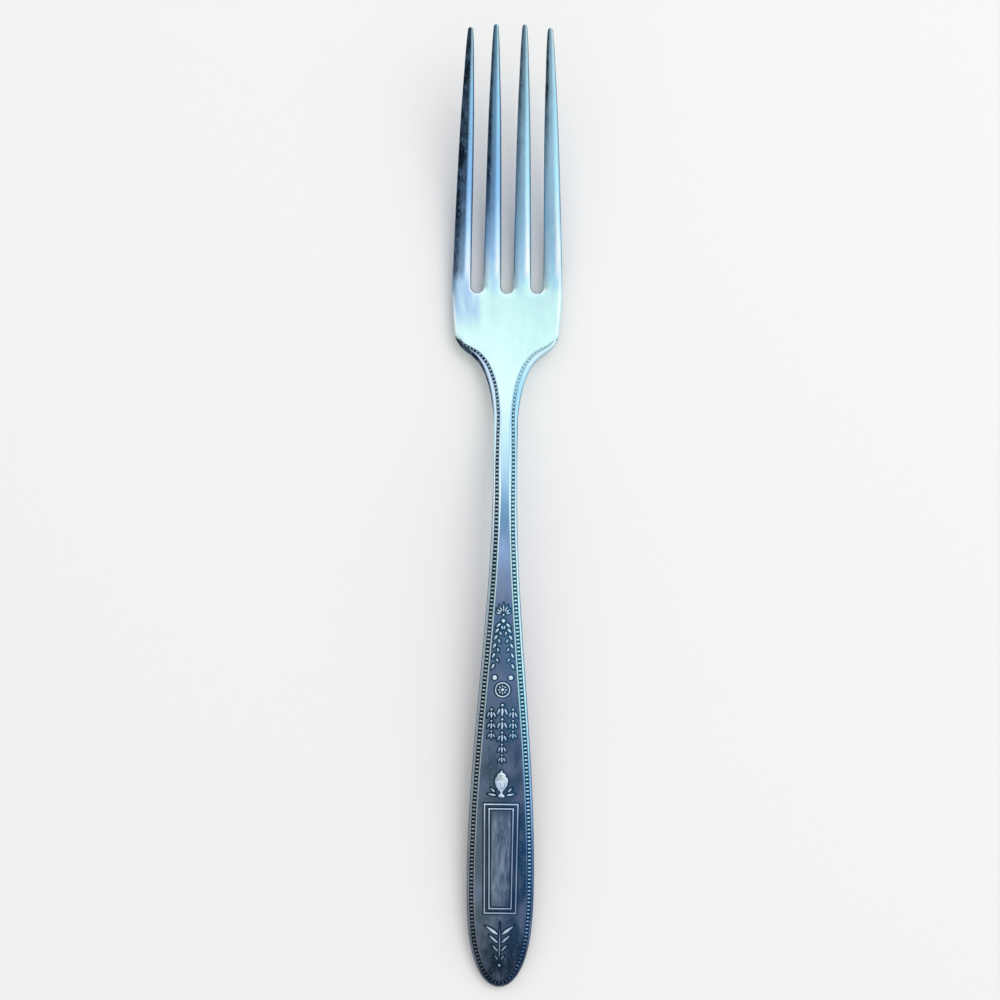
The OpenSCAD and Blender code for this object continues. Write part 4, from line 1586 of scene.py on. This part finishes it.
@dataclass(frozen=True)
class Pattern:
    """A noise: factors of the coordinates along X, Y and Z, waves per metre, octaves, roughness."""

    stretch: tuple[float, float, float]
    scale: float
    detail: float
    roughness: float


CLOUDS = Pattern((1.0, 0.4, 1.0), 240.0, 4.0, 0.6)
STREAKS = Pattern((1.0, 0.16, 1.0), 1100.0, 4.0, 0.65)
GRAINS = Pattern((1.0, 0.8, 1.0), 2600.0, 2.0, 0.5)
PITS = Pattern((1.0, 0.35, 1.0), 900.0, 4.0, 0.6)
SCRATCHES = Pattern((9.0, 0.35, 1.0), 900.0, 4.0, 0.7)
ROUGH_GRAIN = Pattern((1.0, 1.0, 1.0), 4200.0, 2.0, 0.5)


class NodeTools:
    """Short calls that add nodes to a tree and join them."""

    def __init__(self, tree: bpy.types.NodeTree, clamp: bool) -> None:
        """Work in a tree.

        Args:
            tree: The tree.
            clamp: Whether sums and products are held between 0 and 1.
        """
        self.tree = tree
        self.clamp = clamp

    def node(self, kind: str, **settings: object) -> bpy.types.Node:
        """Add a node and set its properties.

        Args:
            kind: Name of the node's type.
            settings: Values of its properties.

        Returns:
            The node.
        """
        made = self.tree.nodes.new(kind)
        for key, value in settings.items():
            setattr(made, key, value)
        return made

    def link(self, source: Socket, target: Socket) -> None:
        """Join two sockets."""
        self.tree.links.new(source, target)

    def span(self, source: Socket, low: float, high: float, to_low: float, to_high: float,
             kind: str = "SMOOTHSTEP") -> Socket:
        """Map a range of values to another, held at its ends.

        Args:
            source: The values.
            low: Start of their range.
            high: End of it.
            to_low: Result at the start.
            to_high: Result at the end.
            kind: Way between them.

        Returns:
            The results.
        """
        made = self.node("ShaderNodeMapRange", interpolation_type=kind)
        for key, value in (("From Min", low), ("From Max", high), ("To Min", to_low), ("To Max", to_high)):
            made.inputs[key].default_value = value
        self.link(source, made.inputs["Value"])
        return made.outputs["Result"]

    def maths(self, operation: str, first: Socket, second: Socket | float = 0.0) -> Socket:
        """Combine two values.

        Args:
            operation: Name of the operation.
            first: First value.
            second: Second value, where the operation has one.

        Returns:
            The result.
        """
        made = self.node("ShaderNodeMath", operation=operation, use_clamp=self.clamp)
        self.link(first, made.inputs[0])
        if isinstance(second, float):
            made.inputs[1].default_value = second
        else:
            self.link(second, made.inputs[1])
        return made.outputs["Value"]

    def product(self, first: Socket, *others: Socket | float) -> Socket:
        """Multiply values in order.

        Args:
            first: First value.
            others: The other values.

        Returns:
            The product.
        """
        for other in others:
            first = self.maths("MULTIPLY", first, other)
        return first


class NodeBench(NodeTools):
    """The nodes of one material."""

    def __init__(self, name: str) -> None:
        """Start a material with its shader and the object's coordinates.

        Args:
            name: Name of the material.
        """
        self.material = bpy.data.materials.new(name)
        self.material.use_nodes = True
        super().__init__(self.material.node_tree, True)
        self.shader = self.tree.nodes["Principled BSDF"]
        self.place = self.node("ShaderNodeTexCoord").outputs["Object"]

    def noise(self, pattern: Pattern) -> Socket:
        """Noise on the object's coordinates.

        Args:
            pattern: Its pattern.

        Returns:
            The noise's factor.
        """
        mapping = self.node("ShaderNodeMapping")
        mapping.inputs["Scale"].default_value = pattern.stretch
        self.link(self.place, mapping.inputs["Vector"])
        noise = self.node("ShaderNodeTexNoise")
        noise.inputs["Scale"].default_value = pattern.scale
        noise.inputs["Detail"].default_value = pattern.detail
        noise.inputs["Roughness"].default_value = pattern.roughness
        self.link(mapping.outputs["Vector"], noise.inputs["Vector"])
        return noise.outputs["Fac"]

    def mix(self, factor: Socket, first: Socket, second: Socket | Colour) -> Socket:
        """Mix two colours.

        Args:
            factor: Share of the second.
            first: First colour.
            second: Second colour.

        Returns:
            The mixed colour.
        """
        made = self.node("ShaderNodeMix", data_type="RGBA")
        self.link(factor, made.inputs["Factor"])
        self.link(first, made.inputs["A"])
        if isinstance(second, tuple):
            made.inputs["B"].default_value = (*second, 1)
        else:
            self.link(second, made.inputs["B"])
        return made.outputs["Result"]

    def bump(self, height: Socket, distance: float, strength: float, after: Socket | None = None) -> Socket:
        """Bump the surface, on top of another bump where there is one.

        Args:
            height: Heights from 0 to 1.
            distance: Height of 1 in metres.
            strength: Share of the bump.
            after: The bump below.

        Returns:
            The normal.
        """
        made = self.node("ShaderNodeBump")
        made.inputs["Strength"].default_value = strength
        made.inputs["Distance"].default_value = distance
        self.link(height, made.inputs["Height"])
        if after is not None:
            self.link(after, made.inputs["Normal"])
        return made.outputs["Normal"]


class SilverBench(NodeBench):
    """The nodes of a silver material, with the patterns and places that its layers share."""

    def __init__(self, name: str) -> None:
        """Start the material with its patterns.

        Args:
            name: Name of the material.
        """
        super().__init__(name)
        split = self.node("ShaderNodeSeparateXYZ")
        self.link(self.place, split.inputs["Vector"])
        self.x, self.y = split.outputs["X"], split.outputs["Y"]
        self.clouds, self.streaks, self.grains = (self.noise(kind) for kind in (CLOUDS, STREAKS, GRAINS))
        half = FORK.length / 2 * MM
        self.along = self.span(self.y, -half, half, 0.0, 1.0, "LINEAR")
        # share from the left to the right, over which the tones blend the painted light of the two sides
        self.side = self.span(self.x, -0.0045, 0.0045, 0.0, 1.0)


@dataclass(frozen=True)
class SilverFinish:
    """Worn silver plate: its tones, which are painted reflections, painted highlights, dark tarnished places
    and painted shade, haze, scratches and grain.

    The ranges are in metres from the fork's middle, across it for patch_across and along it for
    the others.
    """

    name: str
    # painted reflections along the fork, with painted light and shade between the left and the right
    tones: tuple[ToneRow, ...]
    # painted highlight colours
    bright: tuple[ToneRow, ...]
    # colours of the dark marks: tarnished places and painted shade
    tarnish_and_painted_light: tuple[ToneRow, ...]
    haze: Colour
    haze_share: float
    roughness: float
    grain: float
    # colour of a pale painted reflection on the palm's left
    patch_colour: Colour = (0.38, 0.58, 0.9)
    speck_colour: Colour = (0.28, 0.34, 0.43)
    smudge_colour: Colour = (0.27, 0.37, 0.49)
    panel_margin: float = 1.2
    patch_across: tuple[float, float] = (-0.0075, -0.0015)
    patch_start: tuple[float, float] = (0.0362, 0.0415)
    patch_end: tuple[float, float] = (0.047, 0.06)
    haze_end: tuple[float, float] = (-0.015, 0.012)
    speck_end: tuple[float, float] = (-0.012, 0.004)
    rubbed_end: tuple[float, float] = (0.036, 0.042)
    scratch_depth: float = 0.00002
    scratch_share: float = 0.12
    grain_depth: float = 0.00003

    def tone(self, bench: SilverBench, rows: tuple[ToneRow, ...], along: Socket) -> Socket:
        """Colour by the place on the fork, painted reflection along it and painted light and shade from its
        left to its right.

        Args:
            bench: The material's nodes.
            rows: Tones from the handle's end to the tips.
            along: Place along the fork from 0 to 1.

        Returns:
            The colour.
        """
        colours = []
        for pick in (1, 2):
            ramp = bench.node("ShaderNodeValToRGB")
            stops = ramp.color_ramp.elements
            for i, row in enumerate(rows):
                stop = stops[i] if i < 2 else stops.new(row[0] / FORK.length)
                stop.position = row[0] / FORK.length
                stop.color = (*row[pick], 1)
            bench.link(along, ramp.inputs["Fac"])
            colours.append(ramp.outputs["Color"])
        return bench.mix(bench.side, *colours)

    def plate(self, bench: SilverBench) -> Socket:
        """Colour of the plate: its tones of painted reflection, a pale painted reflection patch at the palm's
        left, haze, specks and smudges.

        Args:
            bench: The material's nodes.

        Returns:
            The colour.
        """
        moved = bench.maths("ADD", bench.along, bench.span(bench.clouds, 0.2, 0.8, -0.015, 0.015))
        colour = self.tone(bench, self.tones, moved)
        # pale painted reflection on the palm's left, with a cloudy edge
        leftness = bench.maths("ADD", bench.span(bench.x, *self.patch_across, 0.9, 0.0, "LINEAR"),
                               bench.span(bench.clouds, 0.3, 0.7, -0.12, 0.12))
        patch = bench.product(
            bench.span(leftness, 0.36, 0.8, 0.0, 0.75), bench.span(bench.y, *self.patch_start, 0.0, 1.0),
            bench.span(bench.y, *self.patch_end, 1.0, 0.3), bench.span(bench.streaks, 0.35, 0.6, 0.55, 1.0))
        colour = bench.mix(patch, colour, self.patch_colour)
        veil = bench.product(bench.span(bench.clouds, 0.4, 0.64, 0.0, self.haze_share),
                             bench.span(bench.y, *self.haze_end, 1.0, 0.15))
        colour = bench.mix(veil, colour, self.haze)
        specks = bench.product(bench.span(bench.grains, 0.6, 0.75, 0.0, 0.35),
                               bench.span(bench.y, *self.speck_end, 1.0, 0.0))
        colour = bench.mix(specks, colour, self.speck_colour)
        smudge = bench.product(self.panel(bench), bench.span(bench.streaks, 0.4, 0.66, 0.0, 0.8))
        return bench.mix(smudge, colour, self.smudge_colour)

    def material(self) -> bpy.types.Material:
        """Put the finish's nodes together: the plate, with painted highlights, tarnished places and painted
        shade from the mesh's marks.

        Returns:
            The material.
        """
        bench = SilverBench(self.name)
        mark = bench.node("ShaderNodeAttribute", attribute_name="tarnish_and_painted_light").outputs["Fac"]
        # negative marks mix in the painted highlight colours, positive ones the dark colours of tarnished
        # places and painted shade
        painted_highlight = bench.product(mark, -1.0, bench.span(bench.streaks, 0.25, 0.6, 0.6, 1.0))
        colour = bench.mix(painted_highlight, self.plate(bench), self.tone(bench, self.bright, bench.along))
        pits = bench.span(bench.noise(PITS), 0.3, 0.7, 0.9, 1.2)
        wear_and_highlight = bench.maths("MAXIMUM", bench.span(bench.grains, 0.6, 0.76, 1.0, 0.55),
                             bench.span(bench.y, *self.rubbed_end, 1.0, 0.0))
        dark = bench.product(mark, pits, wear_and_highlight)
        colour = bench.mix(dark, colour, self.tone(bench, self.tarnish_and_painted_light, bench.along))
        bench.link(colour, bench.shader.inputs["Base Color"])
        bench.shader.inputs["Metallic"].default_value = 1.0
        smears = bench.span(bench.streaks, 0.3, 0.7, self.roughness * 0.9, self.roughness * 1.12)
        rough = bench.maths("ADD", smears, bench.span(dark, 0.0, 1.0, 0.0, 0.25))
        bench.link(rough, bench.shader.inputs["Roughness"])
        normal = bench.bump(bench.noise(SCRATCHES), self.scratch_depth, self.scratch_share)
        normal = bench.bump(bench.noise(ROUGH_GRAIN), self.grain_depth, self.grain, normal)
        bench.link(normal, bench.shader.inputs["Normal"])
        return bench.material

    def panel(self, bench: SilverBench) -> Socket:
        """Window over the tablet's panel.

        Args:
            bench: The material's nodes.

        Returns:
            Shares, 1 inside the panel.
        """
        low = ORNAMENT.tablet_at + self.panel_margin - FORK.length / 2
        high = ORNAMENT.tablet_at + ORNAMENT.tablet_length - self.panel_margin - FORK.length / 2
        wide = ORNAMENT.tablet_low_width / 2 - self.panel_margin
        return bench.product(
            bench.span(bench.maths("ABSOLUTE", bench.x), (wide - 0.5) * MM, (wide + 0.2) * MM, 1.0, 0.0),
            bench.span(bench.y, low * MM, (low + 3) * MM, 0.0, 1.0),
            bench.span(bench.y, (high - 3) * MM, high * MM, 1.0, 0.0))


# painted highlight colours, from the handle's end to the tips, at the left and at the right
PAINTED_HIGHLIGHT_TONES: tuple[ToneRow, ...] = (
    (0, (0.8, 0.95, 1.0), (0.8, 0.95, 1.0)), (144, (0.95, 1.0, 1.0), (0.97, 1.0, 1.0)),
    (151, (0.6, 0.9, 1.0), (0.85, 1.0, 1.0)), (161, (0.26, 0.6, 1.0), (0.5, 0.94, 1.0)),
    (178, (0.36, 0.7, 0.98), (0.42, 0.8, 1.0)), (190, (0.5, 0.75, 0.7), (0.7, 0.9, 0.85)))
# colours of the dark marks, for tarnished places and painted shade, near black at the left and a lit blue at
# the right as painted light
SHADE_AND_TARNISH_TONES: tuple[ToneRow, ...] = (
    (0, (0.01, 0.02, 0.03), (0.01, 0.03, 0.07)), (40, (0.008, 0.018, 0.025), (0.005, 0.06, 0.16)),
    (70, (0.008, 0.025, 0.035), (0.005, 0.13, 0.24)), (95, (0.006, 0.018, 0.03), (0.02, 0.18, 0.3)),
    (113, (0.008, 0.022, 0.045), (0.05, 0.24, 0.36)), (121, (0.012, 0.03, 0.06), (0.2, 0.5, 0.66)),
    (130, (0.015, 0.03, 0.06), (0.15, 0.3, 0.42)),
    (145, (0.01, 0.02, 0.035), (0.025, 0.045, 0.075)), (190, (0.006, 0.012, 0.018), (0.015, 0.028, 0.038)))
# the plate's tones are painted reflections: near black at the handle's end, slate blue over the handle, pale
# cyan over the palm and deeper blue on the tines, with painted light and shade between the left and the right
PLATE = SilverFinish("worn_silver_plate", (
    (0, (0.012, 0.02, 0.032), (0.012, 0.024, 0.05)), (5, (0.018, 0.034, 0.052), (0.016, 0.04, 0.078)),
    (14, (0.1, 0.14, 0.18), (0.02, 0.07, 0.15)), (30, (0.125, 0.17, 0.22), (0.015, 0.07, 0.17)),
    (36, (0.1, 0.145, 0.19), (0.025, 0.08, 0.17)), (44, (0.065, 0.115, 0.165), (0.045, 0.095, 0.18)),
    (60, (0.12, 0.2, 0.31), (0.1, 0.17, 0.34)), (74, (0.12, 0.215, 0.33), (0.1, 0.185, 0.39)),
    (80, (0.24, 0.35, 0.47), (0.22, 0.3, 0.6)), (86, (0.32, 0.5, 0.77), (0.29, 0.43, 0.75)),
    (94, (0.145, 0.31, 0.53), (0.15, 0.31, 0.52)),
    (102, (0.38, 0.62, 0.84), (0.38, 0.63, 0.84)), (109, (0.56, 0.86, 0.95), (0.54, 0.86, 0.95)),
    (118, (0.76, 0.99, 0.98), (0.74, 0.99, 0.98)), (130, (0.68, 0.98, 0.97), (0.64, 0.98, 0.97)),
    (139, (0.65, 0.97, 0.97), (0.62, 0.96, 0.97)), (143, (0.46, 0.78, 1.0), (0.46, 0.82, 1.0)),
    (147, (0.36, 0.64, 0.98), (0.38, 0.73, 1.0)),
    (160, (0.22, 0.44, 0.8), (0.44, 0.74, 1.0)), (177, (0.2, 0.42, 0.64), (0.4, 0.68, 0.86)),
    (190, (0.12, 0.28, 0.42), (0.3, 0.5, 0.65))),
    PAINTED_HIGHLIGHT_TONES, SHADE_AND_TARNISH_TONES, (0.22, 0.27, 0.42), 0.5, 0.3, 0.45)
# the beads' tones are painted reflections: dark at the handle's end and bright towards the neck, grey at the
# left and a lit blue at the right as painted light and shade
BEADS = SilverFinish("beads_painted_reflections", (
    (0, (0.03, 0.045, 0.06), (0.04, 0.08, 0.15)), (8, (0.07, 0.09, 0.115), (0.08, 0.18, 0.36)),
    (16, (0.19, 0.24, 0.29), (0.24, 0.45, 0.76)), (30, (0.32, 0.38, 0.44), (0.44, 0.74, 1.0)),
    (40, (0.35, 0.42, 0.47), (0.5, 0.84, 1.0)),
    (60, (0.46, 0.58, 0.65), (0.56, 0.94, 1.0)), (85, (0.65, 0.8, 0.88), (0.68, 0.98, 1.0)),
    (98, (0.94, 0.98, 1.0), (0.62, 0.95, 1.0)), (118, (0.8, 0.95, 1.0), (0.5, 0.84, 1.0)),
    (130, (0.6, 0.85, 1.0), (0.8, 1.0, 1.0))),
    PAINTED_HIGHLIGHT_TONES, SHADE_AND_TARNISH_TONES, (0.42, 0.52, 0.7), 0.15, 0.24, 0.15)
# the rim's tones are painted reflections: dark at the handle's end and bright towards the neck, grey at the
# left and blue at the right as painted light and shade
RIM = SilverFinish("rim_painted_reflections", (
    (0, (0.03, 0.045, 0.07), (0.03, 0.05, 0.1)), (8, (0.08, 0.095, 0.12), (0.025, 0.055, 0.12)),
    (16, (0.2, 0.225, 0.25), (0.04, 0.1, 0.22)), (30, (0.32, 0.36, 0.4), (0.08, 0.2, 0.42)),
    (40, (0.4, 0.46, 0.5), (0.2, 0.44, 0.74)),
    (60, (0.5, 0.62, 0.66), (0.52, 0.92, 1.0)), (85, (0.65, 0.8, 0.86), (0.66, 0.98, 1.0)),
    (98, (0.88, 0.94, 0.98), (0.54, 0.9, 1.0)), (106, (0.8, 0.9, 0.97), (0.42, 0.78, 1.0)),
    (120, (0.65, 0.82, 0.97), (0.38, 0.74, 0.97)), (130, (0.5, 0.7, 0.95), (0.7, 0.93, 1.0))),
    PAINTED_HIGHLIGHT_TONES, SHADE_AND_TARNISH_TONES, (0.42, 0.52, 0.7), 0.15, 0.24, 0.15)
# the relief's tones are painted reflections, darker towards the handle's end
RELIEF = SilverFinish("relief_painted_reflections", (
    (0, (0.25, 0.34, 0.44), (0.22, 0.32, 0.46)), (12, (0.46, 0.58, 0.72), (0.4, 0.54, 0.74)),
    (40, (0.6, 0.74, 0.92), (0.6, 0.74, 0.92)), (75, (0.68, 0.84, 1.0), (0.68, 0.84, 1.0))),
    PAINTED_HIGHLIGHT_TONES, SHADE_AND_TARNISH_TONES, (0.7, 0.8, 0.92), 0.3, 0.22, 0.15)
# the frames' tones are painted reflections, paler towards the urn and paler at the left than at the right
FRAMES = SilverFinish("tablet_frame_silver", (
    (10, (0.36, 0.47, 0.62), (0.22, 0.33, 0.5)), (30, (0.36, 0.47, 0.62), (0.22, 0.33, 0.5)),
    (37, (0.62, 0.76, 0.95), (0.46, 0.6, 0.85))),
    PAINTED_HIGHLIGHT_TONES, SHADE_AND_TARNISH_TONES, (0.45, 0.56, 0.72), 0.4, 0.24, 0.15)


@dataclass
class Studio:
    """Pale floor, a soft key light, the room's own light and a camera that looks straight down."""

    camera_height: float = 420.0
    camera_x: float = -0.95
    camera_y: float = 3.1
    camera_roll: float = 0.68
    view_width: float = 202.2
    floor_size: float = 1.6
    floor_colour: Colour = (0.8, 0.8, 0.8)
    key_ahead: float = 24.0
    key_right: float = 26.0
    key_distance: float = 1.0
    key_size: float = 0.6
    key_radiance: float = 2.6
    dim: float = 0.42
    bright: float = 1.05
    curtain: float = 0.75
    low: float = 0.85
    backdrop: float = 0.75
    slant: tuple[float, float] = (0.5, 0.85)
    room_span: tuple[float, float] = (-0.4, -0.02)
    curtain_left: float = 0.12
    curtain_span: tuple[float, float] = (0.08, 0.48)
    behind_span: tuple[float, float] = (-0.42, -0.04)
    low_span: tuple[float, float] = (-0.42, -0.24)

    def camera(self) -> None:
        """Make the scene's camera."""
        data = bpy.data.cameras.new("camera")
        data.sensor_fit = "HORIZONTAL"
        data.angle = 2 * math.atan(self.view_width / 2 / self.camera_height)
        data.clip_start = 0.01
        data.clip_end = 10
        made = bpy.data.objects.new("camera", data)
        made.location = (self.camera_x * MM, self.camera_y * MM, self.camera_height * MM)
        made.rotation_euler = (0, 0, math.radians(self.camera_roll))
        bpy.context.scene.collection.objects.link(made)
        bpy.context.scene.camera = made

    def floor(self) -> None:
        """Make the floor under the fork."""
        half = self.floor_size / 2
        corners = [(-half, -half, 0), (half, -half, 0), (half, half, 0), (-half, half, 0)]
        mesh = bpy.data.meshes.new("floor")
        mesh.from_pydata(corners, [], [(0, 1, 2, 3)])
        made = bpy.data.objects.new("floor", mesh)
        bpy.context.scene.collection.objects.link(made)
        bench = NodeBench("pale_floor")
        bench.shader.inputs["Base Color"].default_value = (*self.floor_colour, 1)
        bench.shader.inputs["Roughness"].default_value = 0.9
        mesh.materials.append(bench.material)

    def key(self) -> None:
        """Hang a square soft light that faces the fork and doesn't show in the silver."""
        data = bpy.data.lights.new("key", "AREA")
        data.shape = "RECTANGLE"
        data.size = data.size_y = self.key_size
        data.energy = self.key_radiance * math.pi * self.key_size**2
        made = bpy.data.objects.new("key", data)
        ahead, right = math.radians(self.key_ahead), math.radians(self.key_right)
        way = np.array([math.tan(right), math.tan(ahead), 1.0])
        made.location = way / np.linalg.norm(way) * self.key_distance
        made.rotation_euler = (-ahead, math.atan(way[0] / math.hypot(way[1], 1.0)), 0)
        made.visible_glossy = False
        bpy.context.scene.collection.objects.link(made)

    def world(self) -> None:
        """Light the room: brighter towards the tips and the right, dim over the handle.

        The strength is a smooth step along a slanting way, times a curtain that dims the middle
        towards the handle's end. Low behind the handle, where only the tines look, it is bright
        again. The camera itself sees an even pale tone.
        """
        made = bpy.data.worlds.new("room")
        bpy.context.scene.world = made
        made.use_nodes = True
        tools = NodeTools(made.node_tree, False)
        span, maths, link = tools.span, tools.maths, tools.link
        axes = tools.node("ShaderNodeSeparateXYZ")
        link(tools.node("ShaderNodeTexCoord").outputs["Generated"], axes.inputs["Vector"])
        x, y = axes.outputs["X"], axes.outputs["Y"]
        slant = maths("ADD", maths("MULTIPLY", x, self.slant[0]), maths("MULTIPLY", y, self.slant[1]))
        room = span(slant, *self.room_span, self.dim, self.bright)
        side = span(maths("ABSOLUTE", maths("ADD", x, self.curtain_left)), *self.curtain_span, 1.0, 0.0)
        behind = span(y, *self.behind_span, 1.0, 0.0)
        curtain = span(maths("MULTIPLY", side, behind), 0.0, 1.0, 1.0, 1 - self.curtain)
        low = span(y, *self.low_span, self.low, 0.0)
        strength = maths("MAXIMUM", maths("MULTIPLY", room, curtain), low)
        pick = tools.node("ShaderNodeMix")
        link(tools.node("ShaderNodeLightPath").outputs["Is Camera Ray"], pick.inputs["Factor"])
        link(strength, pick.inputs["A"])
        pick.inputs["B"].default_value = self.backdrop
        back = made.node_tree.nodes["Background"]
        link(pick.outputs["Result"], back.inputs["Strength"])
        back.inputs["Color"].default_value = (1, 1, 1, 1)

    def build(self) -> None:
        """Set the stage."""
        self.camera()
        self.floor()
        self.key()
        self.world()
        bpy.context.scene.view_settings.view_transform = "Standard"


def main() -> None:
    """Build the stage and every piece of the fork, in order."""
    logging.basicConfig(level=logging.INFO, format="%(name)s %(message)s")
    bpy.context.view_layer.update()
    Studio().build()
    plate, beads, rim, relief, frames = (
        finish.material() for finish in (PLATE, BEADS, RIM, RELIEF, FRAMES))
    motifs = Ornament(ORNAMENT).motifs()
    outline = Outline(FORK)
    forging = Forging(outline, plate, np.concatenate([motif.outlines() for motif in motifs]))
    forging.stretch("handle", 0, 1, True)
    forging.stretch("neck", 1, 2, False)
    forging.palm()
    for kind in TineKind:
        for side in Side:
            Tine(side, kind, plate).build()
    Border(outline, rim, beads).build()
    for motif in motifs:
        motif.build(frames if motif.name.startswith("tablet") else relief)


if __name__ == "__main__":
    main()
